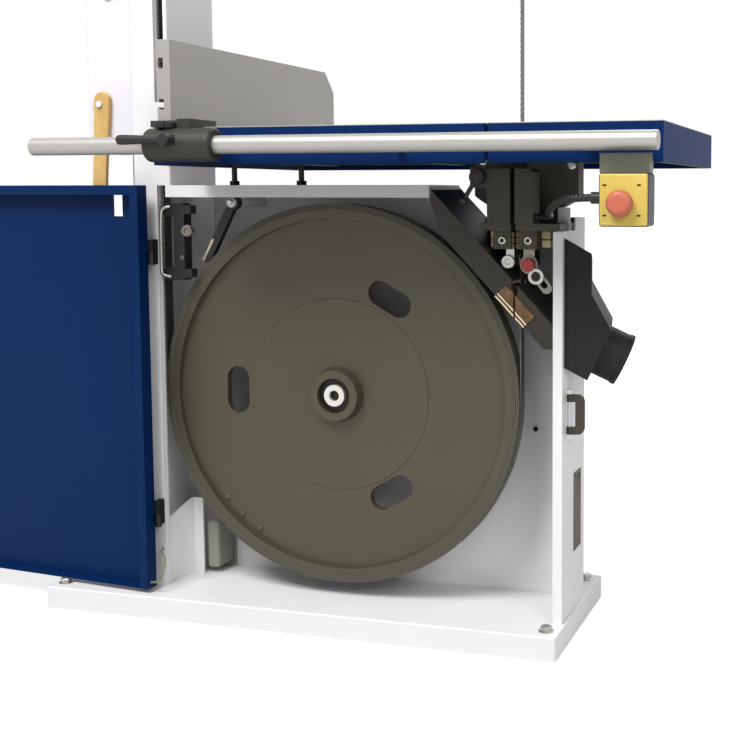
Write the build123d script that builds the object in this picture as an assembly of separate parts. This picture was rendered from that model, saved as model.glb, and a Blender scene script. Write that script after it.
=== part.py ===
from build123d import *
import math
import os

# Floor-standing band saw for wood, shown with its lower door swung open.
# Millimetres. +X is the operator's right, +Y is away from the operator, +Z is up.
# The origin is on the floor, under the lower wheel's axis, at the plane of the wheels' front edges.

# Fits and gaps shared by all pieces
fit_gap = 0.05          # radial clearance of a shaft in its hole
run_gap = 0.3           # between curved faces that pass each other
seat_gap = 0.3          # between flat faces of pieces that move on each other

# Band wheels
wheel_dia = 700.0       # over the tyre
tyre_t = 10.0
rim_w = 36.0
rim_t = 16.0
web_t = 16.0
web_recess = 12.0       # the web lies this far behind the rim's front edge
web_step_dia = 354.0    # machined step on the web
web_step = 1.5
hub_dia = 103.0
hub_front_dia = 93.0
hub_nose = 11.0         # hub in front of the rim
hub_tail = 10.0         # hub behind the rim
hub_recess_dia = 64.0
hub_recess = 12.0
web_slot_len = 88.0
web_slot_w = 45.0
web_slot_r = 205.0
web_slot_angles = (180.0, 60.0, -60.0)
wheel_floor_gap = 28.0      # tyre to plinth
wheel_spacing = 1470.0

# Blade
blade_w = 25.0
blade_t = 1.0
blade_y0 = 4.0          # toothed edge, behind the rim's front edge

# Drive behind the lower wheel
shaft_dia = 40.0
shaft_centre_dia = 19.0
bearing_dia = 84.0
bearing_w = 22.0
bearing_hub_dia = 120.0
bearing_flange_dia = 190.0
bearing_flange_t = 10.0
bearing_shoulder = 6.0
bearing_front_room = 8.0    # hub tail to bearing housing
bearing_back = 19.0         # bearing housing behind the back wall
pulley_dia = 240.0
pulley_w = 36.0
pulley_room = 8.0           # bearing housing to pulley
pulley_groove = 3.0
pulley_grooves = 5
motor_pulley_dia = 120.0
motor_shaft_dia = 28.0
belt_w = 28.0
belt_t = 5.0
motor_x = 195.0
motor_drop = 165.0          # motor axis below the lower wheel's
motor_dia = 180.0
motor_len = 230.0
motor_flange_dia = 200.0
motor_flange_t = 10.0
motor_fin = 8.0
motor_fin_t = 3.0
motor_fins = 28
fan_cover_len = 55.0
terminal_box_w = 90.0
terminal_box_h = 55.0
motor_plate_half = 120.0
motor_plate_t = 8.0
motor_post_dia = 24.0
motor_post_inset = 15.0

# Welded sheet frame
front_y = -32.0
back_y = 131.0
sheet = 3.0
flange_w = 17.0
side_room = 86.0            # tyre to the right wall's outer face

# Plinth
plinth_h = 42.0
plinth_wall = 6.0
plinth_left_lip = 112.2      # plinth beyond the column's wing
plinth_lip = 6.0            # plinth beyond the right wall
plinth_front = -98.0
plinth_back = 260.0
plinth_edge_r = 5.0
floor_bolt_inset_x = 24.0    # bolt from the plinth's end
floor_bolt_inset_y = 29.0
floor_bolt_hole = 14.0
floor_bolt_pad = 62.0

# Column
column_left = 39.0          # from the blade's return run to the left face
column_front = 9.8          # from the blade's return run to the front plate's edge
column_right = 38.0         # from the blade's return run to the right face
column_wall = 5.0
column_slot_w = 21.0
column_slot_rise = 56.0      # foot of the upper slot above the table
column_lip_r = 12.0
wing_w = 60.0               # box at the column's back left
wing_y0 = 58.0
foot_rise = 119.0           # low wall in the column's foot, above the plinth, at its front end
foot_slope = 32.0           # its rise towards the back
foot_y1 = 60.0
foot_t = 4.0
foot_flange = 19.2          # turned to the right at the back

# Lower cabinet
wheel_top_room = 33.0       # tyre to the top plate's upper face
top_flange = 22.0
flange_reach = 11.0         # the top plate's front flange, left of the column's right face
top_plate_short = 154.8     # top plate's right end from the blade
wall_front_drop = 79.0      # wall's top below the top plate
wall_rear_drop = 58.0
wall_step_y = 60.0
back_step = 52.5
wall_slot_w = 44.0
wall_slot_h = 138.0
wall_slot_y = 77.0
wall_slot_rise = 178.0
wall_tab_w = 22.0
wall_tab_y = 20.0
wall_tab_foot = 113.0      # below the top plate
wall_tab_head = 39.0
tab_room = 1.0

# Chip guard: a plate sloping to the right wall, its front edge folded down, and the wood block in the fold
guard_gap = 4.0             # to the top plate, and to the right wall's flange
guard_drop = 8.0            # guard's upper end below the top plate
guard_fall = 229.0
guard_t = 3.0
guard_flange = 41.0
guard_corner = (14.0, 16.0)  # the flange's cut upper corner: along the slope, and below it
guard_knee = 69.0
guard_foot_cut = 43.0       # the flange's level lower end
guard_slot_w = 10.0
wood_block_len = 74.0
wood_block_h = 30.0
wood_block_proud = 3.0      # below the flange
wood_block_front = -34.0
wood_block_back = 16.0      # behind the blade
wood_slit_w = 3.0
slit_back = 5.5             # slits behind the blade

# Dust hood on the right wall
hood_y0 = -20.0
hood_y1 = 90.0
hood_wall = 3.5
hood_top_drop = 11.0        # heights below the right wall's front top
hood_bottom_drop = 234.0
hood_shoulder_drop = 37.0
hood_waist_drop = 106.0
hood_depth = 48.0
hood_draft = 24.0           # the hood's sides close in by this much towards its back
hood_neck_draft = 13.0
port_dia = 90.0
port_len = 46.0
port_rim = 3.0
port_drop_deg = 26.0
port_out = 62.0             # where the port leaves the hood, from the wall
port_drop = 211.0
chip_hole_y0 = 0.0
chip_hole_y1 = 78.0
chip_hole_foot = 208.0
chip_hole_head = 68.0

# Upper housing
housing_room = 42.0         # tyre to the housing's top and bottom
housing_left = 54.0         # tyre to the housing's left face
housing_corner_r = 100.0
run_hole_left = 16.0        # opening in the housing's floor, from the blade
run_hole_right = 34.0
run_hole_front = -18.0
run_hole_back = 46.0

# Doors and lift-off hinges
door_gap = 2.0              # frame to the door's edge
door_depth = 26.0
door_sheet = 2.0
door_edge = 8.0             # hinge axis to the door's edge
door_side_inset = 2.0
door_sill = 8.0
lower_door_open_deg = 186.0
hinge_inset = 3.2           # hinge axis to the right of the column's front plate
upper_hinge_inset = 16.0
hinge_r = 6.0
hinge_pin_r = 3.0
hinge_len = 46.0
hinge_leaf_x0 = 14.0
hinge_leaf_x1 = 4.0
hinge_leaf_y = 5.0
hinge_web_w = 7.0
hinge_web_t = 8.0
lower_hinge_rise = 146.0    # above the plinth
lower_hinge_drop = 123.0    # below the top plate
upper_hinge_half = 230.0    # above and below the upper axis
grip_slot_u0 = 62.0
grip_slot_w = 20.0
grip_slot_drop = 57.0
grip_slot_h = 39.0
door_knob_inset = 45.0
door_lip = 18.0             # folded back along the top and the hinge side
door_corner_slope = 1.05     # fall of the cut corner per millimetre of run
door_knob_r = 22.0
door_knob_h = 18.0
knob_stem_r = 6.0

# Latch handle on the right wall
latch_drop = 13.0           # below the lower axis
latch_h = 70.0
latch_reach = 27.0
latch_t = 9.0
latch_grip = 16.0
latch_arm_h = 13.0
latch_y = 0.0
latch_pin_r = 2.5
latch_barrel_r = 5.0
latch_ear_h = 8.0

# Control box and push stick
control_w = 100.0
control_y0 = -22.0
control_drop = 23.0         # below the table's top
control_rise = 360.0        # above it
control_edge_r = 4.0
gland_r = 11.0
gland_h = 16.0
peg_r = 6.0
peg_len = 15.0
peg_drop = 77.0             # peg above the control box's bottom
peg_inset = 68.0
stick_len = 400.0
stick_w = 36.0
stick_t = 10.0
stick_back_gap = 1.0
stick_hole_inset = 24.0
stick_notch = 18.0
button_r = 10.0
button_out = 6.0
button_in = 16.0
button_travel = 4.0
button_room = 2.0
start_button_drop = 50.0    # below the control box's top
stop_button_drop = 100.0

# Guard block where the return run goes up, on two lugs at the column's lip
run_guard_w = 42.0
run_guard_left = 18.0       # from the return run to the block
run_guard_t = 26.0
run_guard_gap = 2.0         # block to blade
run_guard_drop = 33.0       # below the top plate
run_guard_h = 144.0
run_guard_jaw_h = 24.0
run_guard_jaw_w = 20.0
run_guard_edge = 6.0
guard_lug_h = 14.0
guard_ear = 14.0            # ears at the block's right, clear of the wheel
guard_ear_t = 20.0
guard_ear_h = 16.0

# Wheel scraper
scraper_stand = 58.0        # pivot outside the tyre
scraper_place_deg = 120.65  # pivot round the lower axis, from +X
scraper_len = 126.0
scraper_w = 16.0
scraper_t = 14.0
scraper_hub_r = 13.0
scraper_pin_r = 6.0
scraper_head_r = 9.0
scraper_head_t = 6.0
scraper_deg = 118.0         # direction from the pivot, below the +X axis
scraper_y = 16.0

# Table
table_rise = 97.0           # above the cabinet's top plate
table_t = 22.0
table_skirt = 64.0
skirt_t = 10.0
table_column_gap = 67.6     # column to the table's left edge
table_right = 282.0
table_front = -190.0
table_back = 361.0
table_edge_r = 2.0
rib_t = 12.0
rib_h = 34.0
rib_ys = (-105.0, 215.0)
rib_insets = (95.2, 375.2)  # from the table's left edge
insert_dia = 90.0
insert_t = 5.0
insert_ledge = 7.0
table_slot_w = 6.0
insert_slot_left = 3.0
insert_slot_right = 9.0

# Trunnion that carries the table
tilt_r = 150.0
segment_half = 95.0
segment_y0 = 40.0
segment_y1 = 80.0
cradle_gap = 0.4
saddle_side = 2.0           # saddle wider than the segment
cradle_left = 60.8          # from the blade
cradle_drop = 78.0          # below the top plate
cradle_t = 12.0
cradle_front = -40.0
slab_left = 45.0            # slab edges from the blade
slab_right = 36.0
slab_slot = 4.2
slab_y0 = -45.0
slab_y1 = 0.0
slab_h = 93.0
slab_chamfer = 6.0
saddle_left = 61.0
saddle_right = 60.0
cradle_flange_t = 6.0
cradle_flange_drop = 20.0
ear_w = 30.0
ear_t = 12.0
ear_rise = 73.0
ear_h = 36.0
stop_screw_insets = (52.2, 187.2)
stop_screw_y = -8.0
stop_screw_r = 5.0
stop_nut_r = 10.0
stop_nut_h = 8.0

# Tilt clamp lever
clamp_hub_r = 13.0
clamp_hub_t = 12.0
clamp_pin_r = 5.0
clamp_len = 46.0
clamp_rod_r = 4.0
clamp_knob_r = 7.0
clamp_deg = 238.0

# Blade guides above and below the table
guide_block_w = 32.5
guide_block_h = 32.0
guide_y0 = -29.0
guide_y1 = 25.0
guide_blade_gap = 6.0       # block to blade
pad_size = 13.0
pad_gap = 0.4               # pad to blade
pad_out = 15.0              # pad beyond the block
pad_y = 12.0
pad_inset = 2.0
roller_r = 16.0
roller_w = 20.0
roller_drop = 53.0          # roller axis below the guide's seat
roller_pin_r = 5.0
fork_t = 9.0
fork_side = 0.6
fork_y_room = 5.0
fork_cap = 24.0
link_t = 5.0
link_y = -14.0
link_ring_r = 14.0
link_slot_w = 10.0
knob_x = 21.0               # lock knob from the blade
knob_drop = 59.0
lock_knob_r = 12.0
lock_knob_h = 13.0
link_dx = 31.0
link_dz = -40.0

# Guide post and its rack drive
upper_guide_rise = 360.0    # seat of the upper guides above the table
carrier_t = 12.0
post_w = 40.0
post_side = 8.0             # post axis to the right of the blade
post_y0 = 60.0
post_top_rise = 10.0        # above the upper axis
post_chamfer = 2.0
sleeve_h = 100.0
sleeve_wall = 15.0
sleeve_gap = 0.3
pinion_r = 11.0
pinion_shaft_r = 8.0
pinion_room = 1.0
pinion_rise = 55.0
post_wheel_r = 62.0
post_wheel_rim_r = 8.0
post_wheel_gap = 14.0
post_wheel_hub_r = 18.0
post_wheel_hub_w = 26.0
guard_front = 16.0          # blade guard in front of the teeth
guard_side = 24.0
guard_back = 11.0
guard_sheet = 2.5
guard_top_gap = 10.0

# Blade tension
slide_half = 40.0
slide_rail_w = 20.0
slide_front = 66.0
slide_lip = 10.0
slide_lip_t = 6.0
slide_reach = 150.0         # rails above and below the upper axis
carriage_half_h = 60.0
carriage_back_gap = 8.0
axle_neck_y = 48.0
axle_cap_r = 28.0
axle_cap_t = 6.0
screw_y = 93.0
screw_r = 8.0
screw_nut_half = 22.0
screw_nut_h = 30.0
tension_wheel_r = 75.0
tension_rim_r = 8.0
tension_hub_r = 18.0
tension_hub_h = 36.0
tension_hub_gap = 4.0

# Fence and its rail
rail_dia = 30.0
rail_left = 206.8           # beyond the table
rail_right = 1.2
rail_chamfer = 1.5
rail_y = -235.0
rail_drop = 32.0            # rail axis below the table top
standoff_r = 6.0
standoff_insets = (95.2, 450.2, 765.2)
head_inset = 22.2           # from the table's left edge
head_len = 124.0
head_edge_r = 5.0
head_table_gap = 2.0
head_r = 28.0
head_slot_half = 9.0
fence_face = 23.2           # inside the table's left edge
fence_t = 26.0
fence_h = 150.0
fence_y0 = -170.0
fence_y1 = 490.0
fence_lift = 0.5
fence_corner = 42.0
fence_groove_w = 9.0
fence_groove_d = 7.0
fence_groove_zs = (40.0, 110.0)
arm_inset = 52.0            # from the head's left end
arm_w = 24.0
foot_bar_h = 11.0           # bar on the table that carries the plate
foot_bar_y1 = -150.0
lever_inset = 54.0          # from the head's left end
lever_rise = 8.0
lever_boss_r = 10.0
lever_boss_out = 8.0
lever_pin_r = 5.0
lever_hub_t = 12.0
lever_len = 88.0
lever_rod_r = 6.0
lever_grip_r = 8.5
lever_grip_len = 18.0
fence_knob_inset = 32.0
fence_knob_r = 18.0
fence_knob_h = 9.0
fence_stem_r = 5.0
fence_stem_len = 10.0

# Emergency stop under the rail's right end
estop_inset = 85.8          # from the table's right edge
estop_w = 75.0
estop_h = 80.0
estop_y0 = -250.0
estop_y1 = -200.0
estop_edge_r = 5.0
estop_bracket_inset = 92.8
estop_bracket_w = 78.0
estop_bracket_drop = 81.0   # below the table's top
estop_bracket_h = 31.0
estop_bracket_front = -216.0
mushroom_r = 20.0
mushroom_h = 16.0
mushroom_gap = 9.0
mushroom_stem_r = 8.0
mushroom_drop = 45.0        # mushroom axis below the box's top
mushroom_side = 34.0        # mushroom axis from the box's left side
mushroom_travel = 6.0
mushroom_room = 4.0
cable_dia = 9.0
cable_gland_r = 9.0
cable_gland_len = 18.0
cable_gland_drop = 37.0
cable_gland_y = -222.0
cable_lead = 30.0           # straight run out of the gland
cable_bow_x = (26.0, -6.0, -20.0)       # from the right wall
cable_bow_y = (-180.0, -110.0, -25.0)
cable_bow_drop = (28.0, 45.0, 55.0)     # below the top plate

# Earth wire from the column to the lower door
wire_dia = 4.0
wire_reach = 9.4            # hinge axis to the door's edge where the wire ends
wire_start = 5.0            # inside the edge of the column's front plate
wire_bow_x = (-8.2, 11.8, 17.8, 6.8)    # from the hinge axis
wire_bow_y = (-46.0, -59.0, -75.0, -77.0)
wire_bow_rise = (72.0, 64.0, 42.0, 20.0)  # above the plinth

# Places worked out from the sizes above
wheel_r = wheel_dia / 2
rim_r = wheel_r - tyre_t
shaft_r = shaft_dia / 2
lower_axis_z = plinth_h + wheel_floor_gap + wheel_r
upper_axis_z = lower_axis_z + wheel_spacing
cabinet_top_z = lower_axis_z + wheel_r + wheel_top_room
table_top_z = cabinet_top_z + table_rise
blade_x = wheel_r + run_gap + blade_t / 2
blade_y1 = blade_y0 + blade_w
blade_mid_y = blade_y0 + blade_w / 2
run_x = -blade_x
wall_x = wheel_r + side_room
column_x0 = run_x - column_left
column_x1 = run_x + column_right
column_front_x = run_x + column_front
column_slot_foot = table_top_z + column_slot_rise
plinth_left = column_x0 - wing_w - plinth_left_lip
plinth_right = wall_x + plinth_lip
motor_z = lower_axis_z - motor_drop
housing_x0 = -wheel_r - housing_left
housing_z0 = upper_axis_z - wheel_r - housing_room
housing_z1 = upper_axis_z + wheel_r + housing_room
skin_y = front_y - door_gap - door_depth
lower_hinge_x = column_front_x + hinge_inset
upper_hinge_x = housing_x0 + upper_hinge_inset
lower_hinge_zs = (plinth_h + lower_hinge_rise, cabinet_top_z - lower_hinge_drop)
upper_hinge_zs = (upper_axis_z - upper_hinge_half, upper_axis_z + upper_hinge_half)
door_knob_z = upper_axis_z
grip_slot_z0 = cabinet_top_z - grip_slot_drop
latch_z = lower_axis_z - latch_drop
hub_front_y = -hub_nose
hub_back_y = rim_w + hub_tail
bearing_y0 = hub_back_y + bearing_front_room
bearing_y1 = back_y + bearing_back
pulley_y0 = bearing_y1 + pulley_room
pulley_y1 = pulley_y0 + pulley_w
motor_plate_y0 = pulley_y1 + pulley_room
motor_y0 = motor_plate_y0 + motor_plate_t
top_plate_z = cabinet_top_z - sheet
top_plate_end = blade_x - top_plate_short
back_step_x = top_plate_end + back_step
wall_top_front = cabinet_top_z - wall_front_drop
wall_top_rear = cabinet_top_z - wall_rear_drop
wall_slot_z = plinth_h + wall_slot_rise
wall_tab_z0 = cabinet_top_z - wall_tab_foot
wall_tab_z1 = cabinet_top_z - wall_tab_head
guard_top = (top_plate_end + guard_gap, cabinet_top_z - guard_drop)
guard_foot = (wall_x - flange_w - guard_gap / 4, guard_top[1] - guard_fall)
guard_run = guard_foot[0] - guard_top[0]
guard_len = math.hypot(guard_run, guard_fall)
hood_top_z = wall_top_front - hood_top_drop
hood_bottom_z = wall_top_front - hood_bottom_drop
hood_shoulder_z = wall_top_front - hood_shoulder_drop
hood_waist_z = wall_top_front - hood_waist_drop
port_x = wall_x + port_out
port_z = wall_top_front - port_drop
chip_hole_z0 = wall_top_front - chip_hole_foot
chip_hole_z1 = wall_top_front - chip_hole_head
run_guard_z1 = cabinet_top_z - run_guard_drop
run_guard_z0 = run_guard_z1 - run_guard_h
scraper_x = (wheel_r + scraper_stand) * math.cos(math.radians(scraper_place_deg))
scraper_z = lower_axis_z + (wheel_r + scraper_stand) * math.sin(math.radians(scraper_place_deg))
control_y1 = wing_y0       # the box sits in the corner of the column and its wing
control_z0 = table_top_z - control_drop
control_z1 = table_top_z + control_rise
start_button_z = control_z1 - start_button_drop
stop_button_z = control_z1 - stop_button_drop
table_x0 = column_x1 + table_column_gap
table_x1 = blade_x + table_right
table_under_z = table_top_z - table_t
skirt_z = table_top_z - table_skirt
rib_xs = [table_x0 + inset for inset in rib_insets]
stop_screw_xs = [table_x0 + inset for inset in stop_screw_insets]
cradle_x0 = blade_x - cradle_left
cradle_z0 = cabinet_top_z - cradle_drop
cradle_top = cradle_z0 + cradle_t
cradle_flange_z0 = cradle_z0 - cradle_flange_drop
slab_top = cradle_top + slab_h
ear_z0 = cradle_z0 + ear_rise
ear_z1 = ear_z0 + ear_h
upper_guide_z = table_top_z + upper_guide_rise
carrier_top = upper_guide_z + carrier_t
post_x = blade_x + post_side
post_y1 = post_y0 + post_w
post_top = upper_axis_z + post_top_rise
pinion_y = post_y1 + run_gap + pinion_r
pinion_z = housing_z0 + pinion_rise
screw_foot = housing_z0 - tension_hub_gap
rail_x0 = table_x0 - rail_left
rail_x1 = table_x1 + rail_right
rail_z = table_top_z - rail_drop
standoff_xs = [table_x0 + inset for inset in standoff_insets]
head_x0 = table_x0 + head_inset
head_x1 = head_x0 + head_len
fence_face_x = table_x0 + fence_face
lever_x = head_x0 + lever_inset
fence_knob_x = head_x0 + fence_knob_inset
estop_x0 = table_x1 - estop_inset
estop_x1 = estop_x0 + estop_w
estop_bracket_x0 = table_x1 - estop_bracket_inset
estop_bracket_z0 = table_top_z - estop_bracket_drop
estop_top = estop_bracket_z0
cable_route = [
    (wall_x + out, y, cabinet_top_z - drop)
    for out, y, drop in zip(cable_bow_x, cable_bow_y, cable_bow_drop)
]
wire_route = [
    (lower_hinge_x + out, y, plinth_h + rise)
    for out, y, rise in zip(wire_bow_x, wire_bow_y, wire_bow_rise)
]


def block(x0, x1, y0, y1, z0, z1):
    """Box between two corners."""
    middle = Pos((x0 + x1) / 2, (y0 + y1) / 2, (z0 + z1) / 2)
    return middle * Box(x1 - x0, y1 - y0, z1 - z0)


def rod_x(x0, x1, y, z, r):
    return Pos((x0 + x1) / 2, y, z) * Rot(0, 90, 0) * Cylinder(r, x1 - x0)


def rod_y(x, y0, y1, z, r):
    return Pos(x, (y0 + y1) / 2, z) * Rot(90, 0, 0) * Cylinder(r, y1 - y0)


def rod_z(x, y, z0, z1, r):
    return Pos(x, y, (z0 + z1) / 2) * Cylinder(r, z1 - z0)


def prism_y(points, y0, y1):
    """Outline in X and Z, carried from y0 to y1."""
    face = make_face(Polyline(*[(x, y0, z) for x, z in points], close=True))
    return extrude(face, amount=y1 - y0, dir=(0, 1, 0))


def prism_x(points, x0, x1):
    """Outline in Y and Z, carried from x0 to x1."""
    face = make_face(Polyline(*[(x0, y, z) for y, z in points], close=True))
    return extrude(face, amount=x1 - x0, dir=(1, 0, 0))


def slot_y(x, z, angle, length, width, y0, y1):
    """Round-ended cutter, its long side at this angle to +X in the X-Z plane."""
    half = (length - width) / 2
    dx = half * math.cos(math.radians(angle))
    dz = half * math.sin(math.radians(angle))
    bar = Pos(x, (y0 + y1) / 2, z) * Rot(0, -angle, 0) * Box(2 * half, y1 - y0, width)
    ends = rod_y(x - dx, y0, y1, z - dz, width / 2) + rod_y(x + dx, y0, y1, z + dz, width / 2)
    return bar + ends


def star_knob(r, height, lobes):
    """Hand knob standing on +Z, with scallops round its edge."""
    scallop_r = r * math.pi / lobes / 2
    knob = Pos(0, 0, height / 2) * Cylinder(r, height)
    cuts = [
        Rot(0, 0, 360 / lobes * i) * Pos(r + scallop_r * 0.4, 0, height / 2) * Cylinder(scallop_r, height)
        for i in range(lobes)
    ]
    return knob - cuts


def hand_wheel(rim, rim_r, hub_r, hub_h, spokes):
    """Spoked wheel about Z, its hub standing on z = 0."""
    ring = Cylinder(rim + rim_r, 2 * rim_r) - Cylinder(rim - rim_r, 2 * rim_r)
    ring = fillet(ring.edges().filter_by(GeomType.CIRCLE), rim_r * 0.6)
    wheel = ring + Cylinder(hub_r, hub_h)
    for i in range(spokes):
        wheel += Rot(0, 0, 360 / spokes * (i + 0.25)) * rod_x(0, rim, 0, 0, rim_r * 0.7)
    return Pos(0, 0, hub_h / 2) * wheel


def turned(solid, x, y, degrees):
    """The solid turned about a vertical axis through x, y."""
    return Pos(x, y, 0) * Rot(0, 0, degrees) * Pos(-x, -y, 0) * solid


# Plinth: folded and welded box with solid pads at the floor bolts


def base_plinth():
    slab = block(plinth_left, plinth_right, plinth_front, plinth_back, 0, plinth_h)
    slab = fillet(slab.edges().filter_by(Axis.Z), plinth_edge_r)
    slab = fillet(slab.faces().sort_by(Axis.Z)[-1].edges(), plinth_edge_r * 0.6)
    hollow = block(plinth_left + plinth_wall, plinth_right - plinth_wall, plinth_front + plinth_wall,
                   plinth_back - plinth_wall, plinth_wall, plinth_h - plinth_wall)
    half = floor_bolt_pad / 2
    holes = []
    for x in (plinth_left + floor_bolt_inset_x, plinth_right - floor_bolt_inset_x):
        for y in (plinth_front + floor_bolt_inset_y, plinth_back - floor_bolt_inset_y):
            hollow -= block(x - half, x + half, y - half, y + half, 0, plinth_h)
            holes.append(rod_z(x, y, 0, plinth_h, floor_bolt_hole / 2))
    return slab - hollow - holes


# Column: a channel round the blade's return run, open to the cabinet between its foot and the table


def column():
    z0, z1 = plinth_h, housing_z0
    outer = block(column_x0, column_x1, front_y, back_y, z0, z1)
    outer = fillet(outer.edges().filter_by(Axis.Z).group_by(Axis.Y)[0], column_wall * 0.8)
    channel = block(column_x0 + column_wall, column_x1 - column_wall, front_y + column_wall,
                    back_y - column_wall, z0, z1)
    mouth = block(column_front_x, column_x1, front_y, back_y - column_wall, z0, cabinet_top_z)
    slot = block(column_front_x, column_front_x + column_slot_w, front_y, front_y + column_wall,
                 column_slot_foot, z1)
    wing = block(column_x0 - wing_w, column_x0, wing_y0, back_y, z0, z1)
    wing -= block(column_x0 - wing_w + column_wall, column_x0, wing_y0 + column_wall,
                  back_y - column_wall, z0, z1)
    lip = rod_z(column_front_x - column_lip_r, front_y + column_lip_r, z0, z1, column_lip_r)
    return outer - channel - mouth - slot + wing + lip + foot_wall()


def foot_wall():
    """Low wall from the lip towards the back, with a flange turned to the right."""
    x, y = column_front_x - column_lip_r, front_y + column_lip_r
    turn_x = column_x1 - foot_flange
    turn_y = foot_y1 - foot_t
    plan = [(x, y), (turn_x, turn_y), (column_x1, turn_y), (column_x1, foot_y1),
            (turn_x - foot_t, foot_y1), (x - foot_t, y)]
    height = foot_rise + foot_slope
    wall = Pos(0, 0, plinth_h) * extrude(make_face(Polyline(*plan, close=True)), amount=height, dir=(0, 0, 1))
    low, high = plinth_h + foot_rise, plinth_h + height
    return wall - prism_x([(y, low), (turn_y, high), (y, high)], x - 2 * foot_t, column_x1)


# Lower cabinet: back wall, right wall and top plate folded from sheet


def lower_cabinet():
    z0 = plinth_h
    back = prism_y([(column_x1, z0), (wall_x, z0), (wall_x, wall_top_rear), (back_step_x, wall_top_rear),
                    (top_plate_end, top_plate_z), (column_x1, top_plate_z)], back_y - sheet, back_y)
    wall = prism_x([(front_y, z0), (back_y, z0), (back_y, wall_top_rear), (wall_step_y, wall_top_rear),
                    (wall_step_y, wall_top_front), (front_y, wall_top_front)], wall_x - sheet, wall_x)
    flange = block(wall_x - flange_w, wall_x, front_y, front_y + sheet, z0, wall_top_front)
    top = block(column_x1, top_plate_end, front_y, back_y, top_plate_z, cabinet_top_z)
    flange_z = cabinet_top_z - top_flange
    top += block(column_x1 - flange_reach, top_plate_end, front_y, front_y + sheet, flange_z, cabinet_top_z)
    tab = block(wall_x - wall_tab_w, wall_x, wall_tab_y, wall_tab_y + sheet, wall_tab_z0, wall_tab_z1)
    body = back + wall + flange + top + tab
    body -= rod_y(0, back_y - sheet, back_y, lower_axis_z, bearing_hub_dia / 2 + run_gap)
    body -= block(wall_x - sheet, wall_x, chip_hole_y0, chip_hole_y1, chip_hole_z0, chip_hole_z1)
    body -= block(wall_x - sheet, wall_x, wall_slot_y - wall_slot_w / 2, wall_slot_y + wall_slot_w / 2,
                  wall_slot_z - wall_slot_h / 2, wall_slot_z + wall_slot_h / 2)
    return body + scraper_stud() + latch_ears()


def scraper_stud():
    stud = rod_y(scraper_x, scraper_y - scraper_t / 2, back_y - sheet, scraper_z, scraper_pin_r)
    head_y = scraper_y - scraper_t / 2 - seat_gap
    stud += rod_y(scraper_x, head_y - scraper_head_t, head_y, scraper_z, scraper_head_r)
    neck = rod_y(scraper_x, head_y, scraper_y - scraper_t / 2, scraper_z, scraper_pin_r)
    collar_y = scraper_y + scraper_t / 2 + seat_gap
    collar = rod_y(scraper_x, collar_y, back_y - sheet, scraper_z, scraper_head_r)
    return stud + neck + collar


def latch_ears():
    x = wall_x + latch_barrel_r
    ears = None
    for side in (-1, 1):
        z = latch_z + side * (latch_h / 2 + seat_gap + latch_ear_h / 2)
        ear = block(wall_x, x, latch_y - latch_barrel_r, latch_y + latch_barrel_r,
                    z - latch_ear_h / 2, z + latch_ear_h / 2)
        ear += rod_z(x, latch_y, z - latch_ear_h / 2, z + latch_ear_h / 2, latch_barrel_r)
        ears = ear if ears is None else ears + ear
    reach = latch_h / 2 + seat_gap + latch_ear_h
    return ears + rod_z(x, latch_y, latch_z - reach, latch_z + reach, latch_pin_r)


def motor_bracket():
    half = motor_plate_half
    plate = block(motor_x - half, motor_x + half, motor_plate_y0, motor_y0, motor_z - half, motor_z + half)
    plate -= rod_y(motor_x, motor_plate_y0, motor_y0, motor_z, motor_shaft_dia)
    reach = half - motor_post_inset
    for sx, sz in ((1, 1), (1, -1), (-1, -1)):
        x, z = motor_x + sx * reach, motor_z + sz * reach
        plate += rod_y(x, back_y, motor_plate_y0, z, motor_post_dia / 2)
    return plate


def on_guard(along, below):
    """Point beside the guard's slope: along it from its upper end, and square below it."""
    return (guard_top[0] + (guard_run * along - guard_fall * below) / guard_len,
            guard_top[1] - (guard_fall * along + guard_run * below) / guard_len)


def chip_guard():
    plate = prism_y([guard_top, guard_foot, on_guard(guard_len, guard_t), on_guard(0, guard_t)],
                    front_y, back_y - sheet)
    foot_x, foot_z = guard_foot
    cut_z = foot_z - guard_foot_cut
    edge_z = foot_z - guard_flange * guard_len / guard_run
    cut_x = foot_x - (cut_z - edge_z) * guard_run / guard_fall
    flange = prism_y([guard_top, guard_foot, (foot_x, cut_z), (cut_x, cut_z),
                      on_guard(guard_knee, guard_flange), on_guard(*guard_corner)],
                     front_y, front_y + guard_t)
    slot = block(blade_x - guard_slot_w / 2, blade_x + guard_slot_w / 2, front_y,
                 blade_y1 + 2 * slit_back, cut_z, guard_top[1])
    return plate + flange - slot - wood_block_outline(seat_gap)


def wood_block_outline(room):
    """Block in the guard's flange, its middle at the blade."""
    low = guard_flange + wood_block_proud
    high = low - wood_block_h
    middle = (low + high) / 2
    at = ((blade_x - guard_top[0]) * guard_len + guard_fall * middle) / guard_run
    half = wood_block_len / 2 + room
    corners = [(at - half, low + room), (at - half, high - room), (at + half, high - room),
               (at + half, low + room)]
    points = [on_guard(along, below) for along, below in corners]
    return prism_y(points, wood_block_front, blade_y1 + wood_block_back + room)


def blade_slot_block():
    slit = block(blade_x - wood_slit_w / 2, blade_x + wood_slit_w / 2, wood_block_front,
                 blade_y1 + slit_back, guard_foot[1] - guard_foot_cut, guard_top[1])
    return wood_block_outline(0) - slit


def shifted(points, insets):
    """Clockwise outline with each side moved inwards by its own distance."""
    sides = []
    for (x0, z0), (x1, z1), inset in zip(points, points[1:] + points[:1], insets):
        dx, dz = x1 - x0, z1 - z0
        length = math.hypot(dx, dz)
        sides.append((x0 + dz / length * inset, z0 - dx / length * inset, dx, dz))
    corners = []
    for (px, pz, ux, uz), (qx, qz, vx, vz) in zip(sides[-1:] + sides[:-1], sides):
        t = ((qx - px) * vz - (qz - pz) * vx) / (ux * vz - uz * vx)
        corners.append((px + ux * t, pz + uz * t))
    return corners


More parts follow.
